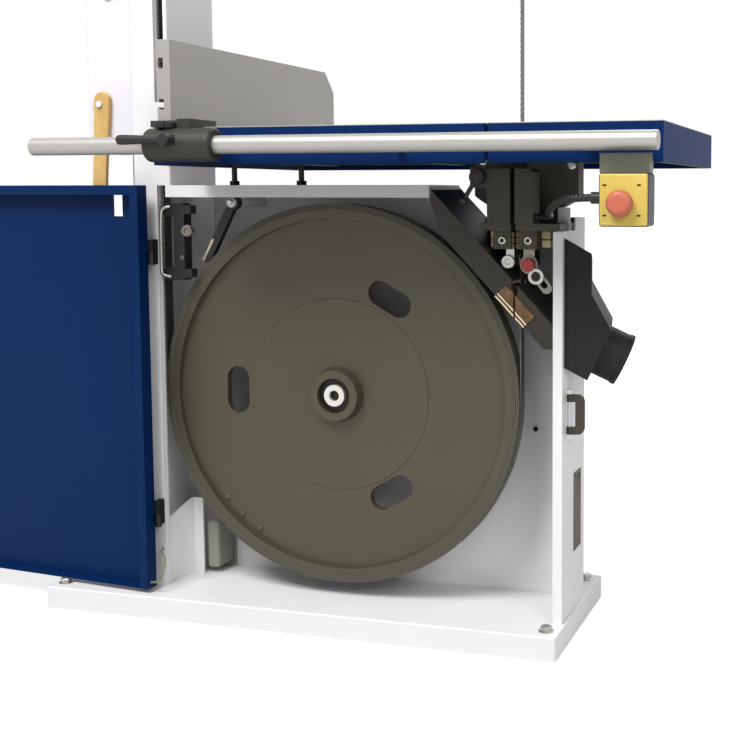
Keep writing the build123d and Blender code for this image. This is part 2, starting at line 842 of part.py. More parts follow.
def tapered(front, back, y0, y1):
    """Solid between an outline at y0 and one at y1."""
    faces = [make_face(Polyline(*[(x, y, z) for x, z in outline], close=True))
             for outline, y in ((front, y0), (back, y1))]
    return loft(faces, ruled=True)


def port_plane():
    """Where the spigot leaves the hood, pointing out, down and a little back."""
    drop = math.radians(port_drop_deg)
    depth = hood_y1 - hood_y0
    back = math.atan2(hood_draft, depth)
    half = hood_draft / 2
    origin = (port_x - half * math.cos(drop), hood_y0 + depth / 2, port_z + half * math.sin(drop))
    way = (math.cos(drop) * math.cos(back), math.sin(back), -math.sin(drop) * math.cos(back))
    return Plane(origin=origin, z_dir=way)


def dust_hood():
    drop = math.radians(port_drop_deg)
    reach = port_dia / 2 + port_rim
    up = (port_x + reach * math.sin(drop), port_z + reach * math.cos(drop))
    low = (port_x - reach * math.sin(drop), port_z - reach * math.cos(drop))
    front_x = wall_x + hood_depth
    front = [(wall_x, hood_top_z), (front_x, hood_shoulder_z), (front_x, hood_waist_z), up, low,
             (wall_x, hood_bottom_z)]
    back = shifted(front, (hood_draft, hood_draft, hood_neck_draft, hood_draft, 0, 0))
    walls = [hood_wall] * len(front)
    body = tapered(front, back, hood_y0, hood_y1)
    inside = tapered(shifted(front, walls), shifted(back, walls), hood_y0 + hood_wall, hood_y1 - hood_wall)
    mouth = block(wall_x, wall_x + 2 * hood_wall, chip_hole_y0, chip_hole_y1, chip_hole_z0, chip_hole_z1)
    tube_len = port_len + 2 * hood_wall
    tube = port_plane() * (Pos(0, 0, port_len - tube_len / 2) * Cylinder(port_dia / 2, tube_len))
    bore_len = port_len + 4 * hood_wall
    bore = port_plane() * (Pos(0, 0, port_len - bore_len / 2) * Cylinder(port_dia / 2 - hood_wall, bore_len))
    return body + tube - inside - mouth - bore


# Bearing unit of the lower shaft: flanged housing and two ball bearings


def shaft_bearing_unit():
    bore = rod_y(0, bearing_y0, bearing_y1, lower_axis_z, bearing_dia / 2)
    shoulder_bore = rod_y(0, bearing_y0, bearing_y1, lower_axis_z, bearing_dia / 2 - bearing_shoulder)
    housing = rod_y(0, bearing_y0, bearing_y1, lower_axis_z, bearing_hub_dia / 2)
    flange_y1 = back_y - sheet
    housing += rod_y(0, flange_y1 - bearing_flange_t, flange_y1, lower_axis_z, bearing_flange_dia / 2)
    shoulder = rod_y(0, bearing_y0 + bearing_w, bearing_y1 - bearing_w, lower_axis_z, bearing_dia / 2)
    housing = housing - bore + (shoulder - shoulder_bore)
    rings = []
    for y0 in (bearing_y0, bearing_y1 - bearing_w):
        ring = rod_y(0, y0, y0 + bearing_w, lower_axis_z, bearing_dia / 2)
        rings.append(ring - rod_y(0, y0, y0 + bearing_w, lower_axis_z, shaft_r + fit_gap))
    return Compound(children=[housing.solid(), rings[0].solid(), rings[1].solid()])


# Band wheels


def band_wheel(axis_z, bore_r):
    ring = rod_y(0, 0, rim_w, axis_z, rim_r) - rod_y(0, 0, rim_w, axis_z, rim_r - rim_t)
    web = rod_y(0, web_recess, web_recess + web_t, axis_z, rim_r - rim_t / 2)
    step = rod_y(0, web_recess - web_step, web_recess, axis_z, web_step_dia / 2)
    hub = rod_y(0, web_recess, hub_back_y, axis_z, hub_dia / 2)
    nose = web_recess + hub_nose
    taper = Rot(90, 0, 0) * Cone(hub_dia / 2, hub_front_dia / 2, nose)
    hub += Pos(0, web_recess - nose / 2, axis_z) * taper
    wheel = ring + web + step + hub
    for angle in web_slot_angles:
        x = web_slot_r * math.cos(math.radians(angle))
        z = web_slot_r * math.sin(math.radians(angle))
        wheel -= slot_y(x, axis_z + z, angle + 90, web_slot_len, web_slot_w, 0, rim_w)
    wheel -= rod_y(0, hub_front_y, hub_front_y + hub_recess, axis_z, hub_recess_dia / 2)
    return wheel - rod_y(0, hub_front_y, hub_back_y, axis_z, bore_r)


def tyre(axis_z):
    return rod_y(0, 0, rim_w, axis_z, wheel_r) - rod_y(0, 0, rim_w, axis_z, rim_r)


def lower_shaft():
    shaft = rod_y(0, hub_front_y + hub_recess / 4, pulley_y1 + pulley_room / 2, lower_axis_z, shaft_r)
    centre = rod_y(0, hub_front_y, hub_front_y + hub_recess, lower_axis_z, shaft_centre_dia / 2)
    return shaft - centre


def grooved_pulley(x, z, r, bore_r):
    pulley = rod_y(x, pulley_y0, pulley_y1, z, r)
    pitch = belt_w / pulley_grooves
    first = (pulley_y0 + pulley_y1) / 2 - belt_w / 2 + pitch / 4
    for i in range(pulley_grooves):
        y = first + pitch * i
        pulley -= rod_y(x, y, y + pitch / 2, z, r) - rod_y(x, y, y + pitch / 2, z, r - pulley_groove)
    return pulley - rod_y(x, pulley_y0, pulley_y1, z, bore_r)


def shaft_pulley():
    return grooved_pulley(0, lower_axis_z, pulley_dia / 2, shaft_r)


def motor_pulley():
    pulley = grooved_pulley(motor_x, motor_z, motor_pulley_dia / 2, motor_shaft_dia / 4)
    return pulley + rod_y(motor_x, pulley_y0, motor_y0 + motor_flange_t, motor_z, motor_shaft_dia / 2)


def belt_outline(extra):
    """Face of the closed belt line at this distance outside the pulleys."""
    r1 = pulley_dia / 2 + extra
    r2 = motor_pulley_dia / 2 + extra
    dx = motor_x
    dz = motor_z - lower_axis_z
    distance = math.hypot(dx, dz)
    heading = math.atan2(dz, dx)
    spread = math.acos((r1 - r2) / distance)

    def on(cx, cz, r, angle):
        return (cx + r * math.cos(angle), 0, cz + r * math.sin(angle))

    a1 = on(0, lower_axis_z, r1, heading + spread)
    a2 = on(motor_x, motor_z, r2, heading + spread)
    b1 = on(0, lower_axis_z, r1, heading - spread)
    b2 = on(motor_x, motor_z, r2, heading - spread)
    near = on(motor_x, motor_z, r2, heading)
    far = on(0, lower_axis_z, r1, heading + math.pi)
    edges = [Line(a1, a2), ThreePointArc(a2, near, b2), Line(b2, b1), ThreePointArc(b1, far, a1)]
    return make_face(edges)


def drive_belt():
    band = belt_outline(run_gap + belt_t) - belt_outline(run_gap)
    y0 = (pulley_y0 + pulley_y1) / 2 - belt_w / 2
    return Pos(0, y0, 0) * extrude(band, amount=belt_w, dir=(0, 1, 0))


def motor_housing():
    y0 = motor_y0 + motor_flange_t
    y1 = y0 + motor_len
    body = rod_y(motor_x, y0, y1, motor_z, motor_dia / 2 - motor_fin)
    body += rod_y(motor_x, motor_y0, y0, motor_z, motor_flange_dia / 2)
    fin = block(-motor_fin_t / 2, motor_fin_t / 2, y0, y1, motor_dia / 2 - 2 * motor_fin, motor_dia / 2)
    fins = [Pos(motor_x, 0, motor_z) * Rot(0, 360 / motor_fins * i, 0) * fin for i in range(motor_fins)]
    body += fins
    body += rod_y(motor_x, y1, y1 + fan_cover_len, motor_z, motor_dia / 2 + motor_fin / 4)
    box_y = y0 + motor_len * 0.4
    body += block(motor_x - terminal_box_w / 2, motor_x + terminal_box_w / 2, box_y - terminal_box_w / 2,
                  box_y + terminal_box_w / 2, motor_z + motor_dia / 2 - 3 * motor_fin,
                  motor_z + motor_dia / 2 + terminal_box_h)
    body -= rod_y(motor_x, motor_y0, y0, motor_z, motor_shaft_dia / 2 + fit_gap)
    return body + motor_bracket()


def blade():
    inner = wheel_r + run_gap
    outer = inner + blade_t

    def loop(r):
        low, high = lower_axis_z, upper_axis_z
        over = ThreePointArc((r, 0, high), (0, 0, high + r), (-r, 0, high))
        under = ThreePointArc((-r, 0, low), (0, 0, low - r), (r, 0, low))
        return make_face([Line((r, 0, low), (r, 0, high)), over, Line((-r, 0, high), (-r, 0, low)), under])

    return Pos(0, blade_y0, 0) * extrude(loop(outer) - loop(inner), amount=blade_w, dir=(0, 1, 0))


# Upper housing, tension gear and upper wheel


def housing_shell(inset, y0, y1):
    shell = block(housing_x0 + inset, wall_x - inset, y0, y1, housing_z0 + inset, housing_z1 - inset)
    return fillet(shell.edges().filter_by(Axis.Y).sort_by(Axis.Z)[-2:], housing_corner_r - inset)


def upper_housing():
    shell = housing_shell(0, front_y, back_y) - housing_shell(sheet, front_y + sheet, back_y - sheet)
    shell -= housing_shell(flange_w, front_y, front_y + sheet)
    floor0, floor1 = housing_z0, housing_z0 + sheet
    shell -= block(column_x0 + column_wall, column_x1 - column_wall, front_y + column_wall,
                   back_y - column_wall, floor0, floor1)
    shell -= block(blade_x - run_hole_left, blade_x + run_hole_right, run_hole_front, run_hole_back,
                   floor0, floor1)
    half = post_w / 2 + pinion_room
    shell -= block(post_x - half, post_x + half, post_y0 - pinion_room, post_y1 + pinion_room,
                   floor0, floor1)
    shell -= rod_z(0, screw_y, floor0, floor1, screw_r + pinion_room)
    return shell - rod_x(wall_x - sheet, wall_x, pinion_y, pinion_z, pinion_shaft_r + fit_gap)


def tension_slideway():
    z0, z1 = upper_axis_z - slide_reach, upper_axis_z + slide_reach
    wall = back_y - sheet
    ways = []
    for side in (-1, 1):
        x0, x1 = sorted((side * slide_half, side * (slide_half + slide_rail_w)))
        way = block(x0, x1, slide_front, wall, z0, z1)
        x0, x1 = sorted((side * (slide_half - slide_lip), side * (slide_half + slide_rail_w)))
        ways.append(way + block(x0, x1, slide_front - slide_lip_t, slide_front, z0, z1))
    nut_z0 = housing_z0 + sheet
    nut_z1 = nut_z0 + screw_nut_h
    nut = block(-screw_nut_half, screw_nut_half, screw_y - screw_nut_half, wall, nut_z0, nut_z1)
    nut -= rod_z(0, screw_y, nut_z0, nut_z1, screw_r + fit_gap)
    return Compound(children=[ways[0].solid(), ways[1].solid(), nut.solid()])


def tension_carriage():
    z0, z1 = upper_axis_z - carriage_half_h, upper_axis_z + carriage_half_h
    half = slide_half - seat_gap
    neck = slide_half - slide_lip - seat_gap
    body = block(-half, half, slide_front + seat_gap, back_y - sheet - carriage_back_gap, z0, z1)
    body += block(-neck, neck, axle_neck_y, slide_front + seat_gap, z0, z1)
    cap_y1 = hub_front_y + hub_recess - seat_gap
    body += rod_y(0, cap_y1 - axle_cap_t, axle_neck_y, upper_axis_z, shaft_r)
    body += rod_y(0, cap_y1 - axle_cap_t, cap_y1, upper_axis_z, axle_cap_r)
    return body - rod_z(0, screw_y, z0, z1, screw_r + fit_gap)


def tension_handwheel():
    wheel = Pos(0, screw_y, screw_foot - tension_hub_h) * hand_wheel(
        tension_wheel_r, tension_rim_r, tension_hub_r, tension_hub_h, 3)
    return wheel + rod_z(0, screw_y, screw_foot - tension_hub_h, upper_axis_z, screw_r)


# Doors: sheet trays on lift-off hinges


def door_tray(outline, hinge_x, corner_r, hinge_zs):
    """Tray over this outline in X and Z, its skin outward, with hinge sleeves at its left edge."""
    face = make_face(Polyline(*[(x, skin_y, z) for x, z in outline], close=True))
    outer = extrude(face, amount=door_depth, dir=(0, 1, 0))
    inset = offset(face, amount=-door_sheet, kind=Kind.INTERSECTION)
    inner = Pos(0, door_sheet, 0) * extrude(inset, amount=door_depth, dir=(0, 1, 0))
    if corner_r:
        outer = fillet(outer.edges().filter_by(Axis.Y).sort_by(Axis.Z)[-2:], corner_r)
        inner = fillet(inner.edges().filter_by(Axis.Y).sort_by(Axis.Z)[-2:], corner_r - door_sheet)
    tray = outer - inner
    for z in hinge_zs:
        foot = z + seat_gap
        top = z + hinge_len / 2
        sleeve = rod_z(hinge_x, skin_y, foot, top, hinge_r)
        tab_x = hinge_x + door_edge + door_sheet
        sleeve += block(hinge_x, tab_x, skin_y, skin_y + hinge_leaf_y - 1, foot, top)
        tray += sleeve - rod_z(hinge_x, skin_y, foot, top, hinge_pin_r + fit_gap)
    return tray


def lower_door():
    x0 = lower_hinge_x + door_edge
    x1 = wall_x - door_side_inset
    z0 = plinth_h + door_sill
    corner_x = guard_top[0] - guard_drop / door_corner_slope
    corner_z = guard_top[1] - (x1 - guard_top[0]) * door_corner_slope
    outline = [(x0, z0), (x1, z0), (x1, corner_z), (corner_x, cabinet_top_z), (x0, cabinet_top_z)]
    closed = door_tray(outline, lower_hinge_x, 0, lower_hinge_zs)
    lip_y1 = skin_y + door_depth
    lip_y0 = lip_y1 - door_sheet
    closed += block(x0, corner_x - door_lip / 2, lip_y0, lip_y1, cabinet_top_z - door_lip, cabinet_top_z)
    closed += block(x0, x0 + door_lip, lip_y0, lip_y1, z0, cabinet_top_z)
    u0 = lower_hinge_x + grip_slot_u0
    closed -= block(u0, u0 + grip_slot_w, skin_y, skin_y + door_sheet, grip_slot_z0,
                    grip_slot_z0 + grip_slot_h)
    return turned(closed, lower_hinge_x, skin_y, -lower_door_open_deg)


def upper_door():
    x0 = upper_hinge_x + door_edge
    x1 = wall_x - door_side_inset
    z0 = housing_z0 + door_side_inset
    z1 = housing_z1 - door_side_inset
    outline = [(x0, z0), (x1, z0), (x1, z1), (x0, z1)]
    door = door_tray(outline, upper_hinge_x, housing_corner_r, upper_hinge_zs)
    knob_x = wall_x - door_knob_inset
    return door - rod_y(knob_x, skin_y, skin_y + door_sheet, door_knob_z, knob_stem_r + fit_gap)


def upper_door_knob():
    x = wall_x - door_knob_inset
    knob = Pos(x, skin_y - seat_gap, door_knob_z) * Rot(90, 0, 0) * star_knob(door_knob_r, door_knob_h, 7)
    inner_y = skin_y + door_sheet
    stem = rod_y(x, skin_y - seat_gap, inner_y + door_depth / 3, door_knob_z, knob_stem_r)
    tongue = block(x - knob_stem_r, x + knob_stem_r, inner_y + seat_gap, inner_y + door_depth / 3,
                   door_knob_z - knob_stem_r, door_knob_z + 4 * knob_stem_r)
    return knob + stem + tongue


def hinge_fixed(hinge_x, z):
    leaf = block(hinge_x - hinge_leaf_x0, hinge_x - hinge_leaf_x1, skin_y + hinge_leaf_y, front_y,
                 z - hinge_len / 2, z + hinge_len / 2)
    web = block(hinge_x - hinge_web_w, hinge_x, skin_y, skin_y + hinge_web_t, z - hinge_len / 2, z)
    knuckle = rod_z(hinge_x, skin_y, z - hinge_len / 2, z, hinge_r)
    pin = rod_z(hinge_x, skin_y, z - hinge_len / 2, z + hinge_len / 2, hinge_pin_r)
    return leaf + web + knuckle + pin


def door_hinge_pins():
    fixed = [hinge_fixed(lower_hinge_x, z) for z in lower_hinge_zs]
    fixed += [hinge_fixed(upper_hinge_x, z) for z in upper_hinge_zs]
    return Compound(children=[part.solid() for part in fixed])


def door_latch():
    x = wall_x + latch_barrel_r
    outer = block(x, x + latch_reach, latch_y - latch_t / 2, latch_y + latch_t / 2,
                  latch_z - latch_h / 2, latch_z + latch_h / 2)
    outer = fillet(outer.edges().filter_by(Axis.Y).sort_by(Axis.X)[-2:], latch_arm_h)
    window = block(x, x + latch_reach - latch_grip, latch_y - latch_t / 2, latch_y + latch_t / 2,
                   latch_z - latch_h / 2 + latch_arm_h, latch_z + latch_h / 2 - latch_arm_h)
    handle = outer - window
    for side in (-1, 1):
        z0, z1 = sorted((latch_z + side * (latch_h / 2 - latch_arm_h), latch_z + side * latch_h / 2))
        handle += rod_z(x, latch_y, z0, z1, latch_barrel_r - seat_gap)
    return handle - rod_z(x, latch_y, latch_z - latch_h, latch_z + latch_h, latch_pin_r + fit_gap)


# Control box at the column's left, its push buttons, and the push stick on its peg


def control_box():
    x1 = column_x0
    x0 = x1 - control_w
    box = block(x0, x1, control_y0, control_y1, control_z0, control_z1)
    box = fillet(box.edges().filter_by(Axis.Z).sort_by(Axis.X)[0:2], control_edge_r)
    mid = (x0 + x1) / 2
    for z in (start_button_z, stop_button_z):
        box -= rod_y(mid, control_y0, control_y0 + button_in + button_travel + button_room, z, button_r + fit_gap)
    box += rod_z(mid, (control_y0 + control_y1) / 2, control_z0 - gland_h, control_z0, gland_r)
    peg_z = control_z0 + peg_drop
    return box + rod_y(x1 - peg_inset, control_y0 - peg_len, control_y0, peg_z, peg_r)


def panel_button(z):
    mid = column_x0 - control_w / 2
    return rod_y(mid, control_y0 - button_out, control_y0 + button_in, z, button_r)


def push_stick():
    x = column_x0 - peg_inset
    hole_z = control_z0 + peg_drop - seat_gap
    top = hole_z + stick_hole_inset
    y1 = control_y0 - stick_back_gap
    y0 = y1 - stick_t
    half = stick_w / 2
    foot = top - stick_len
    outline = [(x - half, foot), (x - half + stick_notch, foot + stick_notch), (x + half, foot),
               (x + half, top - half), (x, top), (x - half, top - half)]
    body = prism_y(outline, y0, y1) + rod_y(x, y0, y1, top - half, half)
    return body - rod_y(x, y0, y1, hole_z, peg_r + seat_gap)


def return_run_guard():
    x0 = run_x + run_guard_left
    x1 = x0 + run_guard_w
    y1 = blade_y0 - run_guard_gap
    guard = block(x0, x1, y1 - run_guard_t, y1, run_guard_z0, run_guard_z1)
    guard = fillet(guard.edges().filter_by(Axis.Y), run_guard_edge)
    guard -= block(x0, x0 + run_guard_jaw_w, y1 - run_guard_t, y1, run_guard_z0 + run_guard_jaw_h,
                   run_guard_z1 - run_guard_jaw_h)
    lip_x, lip_y = column_front_x - column_lip_r, front_y + column_lip_r
    for z in (run_guard_z0 + run_guard_edge, run_guard_z1 - run_guard_edge - guard_lug_h):
        guard += block(lip_x, x0 + run_guard_edge, lip_y, y1, z, z + guard_lug_h)
        guard += block(x1 - run_guard_edge, x1 + guard_ear, y1 - run_guard_t,
                       y1 - run_guard_t + guard_ear_t, z, z + guard_ear_h)
    return guard - rod_z(lip_x, lip_y, run_guard_z0, run_guard_z1, column_lip_r)


def scraper_arm():
    heading = math.radians(scraper_deg)
    tip_x = scraper_x + scraper_len * math.cos(heading)
    tip_z = scraper_z - scraper_len * math.sin(heading)
    mid = Pos((scraper_x + tip_x) / 2, scraper_y, (scraper_z + tip_z) / 2)
    arm = mid * Rot(0, scraper_deg, 0) * Box(scraper_len, scraper_t, scraper_w)
    y0, y1 = scraper_y - scraper_t / 2, scraper_y + scraper_t / 2
    arm += rod_y(scraper_x, y0, y1, scraper_z, scraper_hub_r)
    arm -= rod_y(0, y0 - 1, y1 + 1, lower_axis_z, wheel_r + run_gap + blade_t + 2 * run_gap)
    return arm - rod_y(scraper_x, y0, y1, scraper_z, scraper_pin_r + fit_gap)


# Table, its insert and the trunnion that tilts it about the blade


def table():
    top = block(table_x0, table_x1, table_front, table_back, table_under_z, table_top_z)
    rim = block(table_x0, table_x1, table_front, table_back, skirt_z, table_under_z)
    rim -= block(table_x0 + skirt_t, table_x1 - skirt_t, table_front + skirt_t, table_back - skirt_t,
                 skirt_z, table_under_z)
    plate = top + rim
    plate = fillet(plate.edges().filter_by(Axis.Z).group_by(Axis.X)[0], table_edge_r)
    plate = fillet(plate.edges().filter_by(Axis.Z).group_by(Axis.X)[-1], table_edge_r)
    rib_z0 = table_under_z - rib_h
    half = rib_t / 2
    for y in rib_ys:
        plate += block(table_x0 + skirt_t, table_x1 - skirt_t, y - half, y + half, rib_z0, table_under_z)
    for x in rib_xs:
        plate += block(x - half, x + half, table_front + skirt_t, table_back - skirt_t,
                       rib_z0, table_under_z)
    plate -= rod_z(blade_x, blade_mid_y, table_top_z - insert_t, table_top_z, insert_dia / 2 + seat_gap)
    plate -= rod_z(blade_x, blade_mid_y, skirt_z, table_top_z, insert_dia / 2 - insert_ledge)
    half = table_slot_w / 2
    return plate - block(blade_x - half, blade_x + half, table_front, blade_mid_y, skirt_z, table_top_z)


def table_insert():
    disc = rod_z(blade_x, blade_mid_y, table_top_z - insert_t, table_top_z, insert_dia / 2)
    return disc - block(blade_x - insert_slot_left, blade_x + insert_slot_right, blade_mid_y - insert_dia,
                        blade_y1 + insert_slot_left, table_top_z - insert_t, table_top_z)


def trunnion_segment():
    disc = rod_y(blade_x, segment_y0, segment_y1, table_top_z, tilt_r)
    keep = block(blade_x - segment_half, blade_x + segment_half, segment_y0, segment_y1,
                 table_top_z - tilt_r, table_under_z)
    return disc & keep


def trunnion_cradle():
    x1 = wall_x - sheet
    plate = block(cradle_x0, x1, cradle_front, back_y - sheet, cradle_z0, cradle_top)
    slot_back = blade_y1 + slit_back
    plate -= block(blade_x - slab_slot, blade_x + slab_slot, cradle_front, slot_back, cradle_z0, cradle_top)
    plate -= block(wall_x - wall_tab_w - tab_room, x1, wall_tab_y - tab_room,
                   wall_tab_y + sheet + tab_room, cradle_z0, cradle_top)
    left = block(blade_x - slab_left, blade_x - slab_slot, slab_y0, slab_y1, cradle_top, slab_top)
    right = prism_y([(blade_x + slab_slot, cradle_top), (blade_x + slab_right, cradle_top),
                     (blade_x + slab_right, slab_top - slab_chamfer),
                     (blade_x + slab_right - slab_chamfer, slab_top), (blade_x + slab_slot, slab_top)],
                    slab_y0, slab_y1)
    saddle_y0, saddle_y1 = segment_y0 - saddle_side, segment_y1 + saddle_side
    saddle = block(blade_x - saddle_left, blade_x + saddle_right, saddle_y0, saddle_y1,
                   cradle_top, table_top_z - tilt_r * 0.86)
    saddle -= rod_y(blade_x, saddle_y0, saddle_y1, table_top_z, tilt_r + cradle_gap)
    wall_y = back_y - sheet
    flange = block(cradle_x0, x1, wall_y - cradle_flange_t, wall_y, cradle_flange_z0, wall_top_rear)
    ear_x = blade_x - slab_left
    ear = block(ear_x - ear_w, ear_x, slab_y0, slab_y0 + ear_t, ear_z0, ear_z1)
    pin_x, pin_z = clamp_axis()
    pin = rod_y(pin_x, slab_y0 - seat_gap - clamp_hub_t, slab_y0, pin_z, clamp_pin_r)
    return plate + left + right + saddle + flange + ear + pin + thrust_fork(cradle_z0)


def clamp_axis():
    return blade_x - slab_left - ear_w / 2, (ear_z0 + ear_z1) / 2


def tilt_clamp_lever():
    x, z = clamp_axis()
    y1 = slab_y0 - seat_gap
    y0 = y1 - clamp_hub_t
    hub = rod_y(x, y0, y1, z, clamp_hub_r)
    arm = Pos(x, (y0 + y1) / 2, z) * Rot(0, -clamp_deg, 0) * (
        rod_x(0, clamp_len, 0, 0, clamp_rod_r) + Pos(clamp_len, 0, 0) * Sphere(clamp_knob_r))
    return hub + arm - rod_y(x, y0, y1, z, clamp_pin_r + fit_gap)


def tilt_stop_screws():
    screws = []
    for x in stop_screw_xs:
        screw = rod_z(x, stop_screw_y, cabinet_top_z, table_under_z - seat_gap, stop_screw_r)
        nut = extrude(RegularPolygon(stop_nut_r, 6), amount=stop_nut_h)
        screws.append((screw + Pos(x, stop_screw_y, cabinet_top_z) * nut).solid())
    return Compound(children=screws)


# Blade guides: a pair of blocks with square pads each side of the blade, and a thrust roller behind it


def guide_blocks(seat_z):
    inner = blade_t / 2 + guide_blade_gap
    blocks = []
    for side in (-1, 1):
        x0, x1 = sorted((blade_x + side * inner, blade_x + side * (inner + guide_block_w)))
        body = block(x0, x1, guide_y0, guide_y1, seat_z - guide_block_h, seat_z)
        half = pad_size / 2
        for z in pad_levels(seat_z):
            body -= block(x0, x1, pad_y - half, pad_y + half, z - half, z + half)
        blocks.append(body.solid())
    return blocks


def pad_levels(seat_z):
    first = pad_inset + pad_size / 2
    return (seat_z - first, seat_z - guide_block_h + first)


def guide_pads(seat_z):
    inner = blade_t / 2 + pad_gap
    outer = blade_t / 2 + guide_blade_gap + guide_block_w + pad_out
    pads = []
    for side in (-1, 1):
        x0, x1 = sorted((blade_x + side * inner, blade_x + side * outer))
        for z in pad_levels(seat_z):
            pads.append(block(x0, x1, pad_y - pad_size / 2, pad_y + pad_size / 2,
                              z - pad_size / 2, z + pad_size / 2).solid())
    return Compound(children=pads)


def roller_axis(seat_z):
    return blade_y1 + run_gap + roller_r, seat_z - roller_drop


def thrust_fork(seat_z):
    y, z = roller_axis(seat_z)
    half = roller_w / 2 + fork_side
    y0 = guide_y1 + fork_y_room
    y1 = y + roller_r
    fork = block(blade_x - half - fork_t, blade_x + half + fork_t, y0, y1, z - 2 * roller_pin_r, seat_z)
    fork -= block(blade_x - half, blade_x + half, y0, y1, z - 2 * roller_pin_r, seat_z - fork_cap)
    return fork + rod_x(blade_x - half, blade_x + half, y, z, roller_pin_r)


def thrust_roller(seat_z):
    y, z = roller_axis(seat_z)
    half = roller_w / 2
    roller = rod_x(blade_x - half, blade_x + half, y, z, roller_r)
    return roller - rod_x(blade_x - half, blade_x + half, y, z, roller_pin_r + fit_gap)


def lower_guide_blocks():
    return Compound(children=guide_blocks(cradle_z0))


def knob_axis():
    return blade_x + knob_x, cradle_z0 - knob_drop


def thrust_link():
    x, z = knob_axis()
    y0, y1 = link_y, link_y + link_t
    hanger = block(x - link_slot_w, x + link_slot_w, y0, y1, z, cradle_z0 - guide_block_h)
    end_x, end_z = x + link_dx, z + link_dz
    angle = math.degrees(math.atan2(link_dz, link_dx))
    length = math.hypot(link_dx, link_dz)
    bar = slot_y((x + end_x) / 2, (z + end_z) / 2, angle, length + 2 * link_slot_w, 2 * link_slot_w, y0, y1)
    ring = rod_y(x, y0, y1, z, link_ring_r)
    cut_x, cut_z = x + link_dx * 0.68, z + link_dz * 0.68
    cut = slot_y(cut_x, cut_z, angle, length * 0.62, link_slot_w, y0, y1)
    pin = rod_y(x, y0 - lock_knob_h / 2, y0, z, knob_stem_r / 2)
    return hanger + bar + ring - cut + pin


def guide_lock_knob():
    x, z = knob_axis()
    y1 = link_y - seat_gap
    knob = Pos(x, y1, z) * Rot(90, 0, 0) * star_knob(lock_knob_r, lock_knob_h, 8)
    return knob - rod_y(x, link_y - lock_knob_h / 2 - seat_gap, y1, z, knob_stem_r / 2 + fit_gap)


# Guide post with the upper guides and the blade guard, driven by a pinion on a rack


def guide_post():
    half = post_w / 2
    post = block(post_x - half, post_x + half, post_y0, post_y1, carrier_top, post_top)
    return chamfer(post.edges().filter_by(Axis.Z), post_chamfer)


def post_sleeve():
    half = post_w / 2 + sleeve_wall
    z0 = housing_z0 + sheet
    z1 = z0 + sleeve_h
    sleeve = block(post_x - half, post_x + half, post_y0 - sleeve_wall, back_y - sheet, z0, z1)
    hole = post_w / 2 + sleeve_gap
    mid = (post_y0 + post_y1) / 2
    sleeve -= block(post_x - hole, post_x + hole, mid - hole, mid + hole, z0, z1)
    return sleeve - rod_x(post_x - half, post_x + half, pinion_y, pinion_z, pinion_r + pinion_room)


def guide_handwheel():
    half = post_w / 2
    pinion = rod_x(post_x - half, post_x + half, pinion_y, pinion_z, pinion_r)
    hub_x = wall_x + post_wheel_gap
    pinion += rod_x(post_x, hub_x + post_wheel_hub_w, pinion_y, pinion_z, pinion_shaft_r)
    wheel = hand_wheel(post_wheel_r, post_wheel_rim_r, post_wheel_hub_r, post_wheel_hub_w, 3)
    return pinion + Pos(hub_x, pinion_y, pinion_z) * Rot(0, 90, 0) * wheel


def upper_guide_carrier():
    reach = blade_t / 2 + guide_blade_gap + guide_block_w
    plate = block(blade_x - reach, blade_x + reach, guide_y0, post_y1, upper_guide_z, carrier_top)
    plate -= block(blade_x - slab_slot, blade_x + slab_slot, guide_y0, blade_y1 + slit_back,
                   upper_guide_z, carrier_top)
    plate += thrust_fork(upper_guide_z)
    for body in guide_blocks(upper_guide_z):
        plate += body
    return plate


def blade_guard():
    x0 = blade_x - guard_back
    x1 = blade_x + guard_side
    y0 = blade_y0 - guard_front
    z0 = carrier_top
    z1 = housing_z0 - guard_top_gap
    front = block(x0, x1, y0, y0 + guard_sheet, z0, z1)
    return front + block(x1 - guard_sheet, x1, y0, blade_y1 + guard_back, z0, z1)


# Fence on its round rail along the table's front edge


def fence_rail():
    rail = rod_x(rail_x0, rail_x1, rail_y, rail_z, rail_dia / 2)
    rail = chamfer(rail.edges(), rail_chamfer)
    for x in standoff_xs:
        rail += rod_y(x, rail_y, table_front, rail_z, standoff_r)
    return rail


def fence_head():
    sleeve = rod_x(head_x0, head_x1, rail_y, rail_z, head_r)
    sleeve = fillet(sleeve.edges(), head_edge_r)
    arm_x0 = head_x0 + arm_inset
    arm_x1 = arm_x0 + arm_w
    foot = table_top_z + fence_lift
    bar_top = foot + foot_bar_h
    edge_y = table_front - head_table_gap
    sleeve += block(arm_x0, arm_x1, rail_y, edge_y, rail_z, bar_top)
    sleeve += block(fence_face_x, arm_x1, edge_y, foot_bar_y1, foot, bar_top)
    sleeve += block(fence_face_x - fence_t, fence_face_x, edge_y, fence_y0, foot, bar_top)
    lever_z = rail_z + lever_rise
    boss_y0 = rail_y - head_r - lever_boss_out
    sleeve += rod_y(lever_x, boss_y0, rail_y, lever_z, lever_boss_r)
    pin_y0 = boss_y0 - seat_gap - lever_hub_t
    sleeve += rod_y(lever_x, pin_y0, boss_y0, lever_z, lever_pin_r)
    sleeve -= rod_x(head_x0 - fence_t, head_x1, rail_y, rail_z, rail_dia / 2 + run_gap)
    sleeve -= block(head_x0 - fence_t, head_x1, rail_y, rail_y + 2 * head_r, rail_z - head_slot_half,
                    rail_z + head_slot_half)
    stem_top = rail_z + head_r
    return sleeve - rod_z(fence_knob_x, rail_y, stem_top - fence_stem_len, stem_top, fence_stem_r + fit_gap)


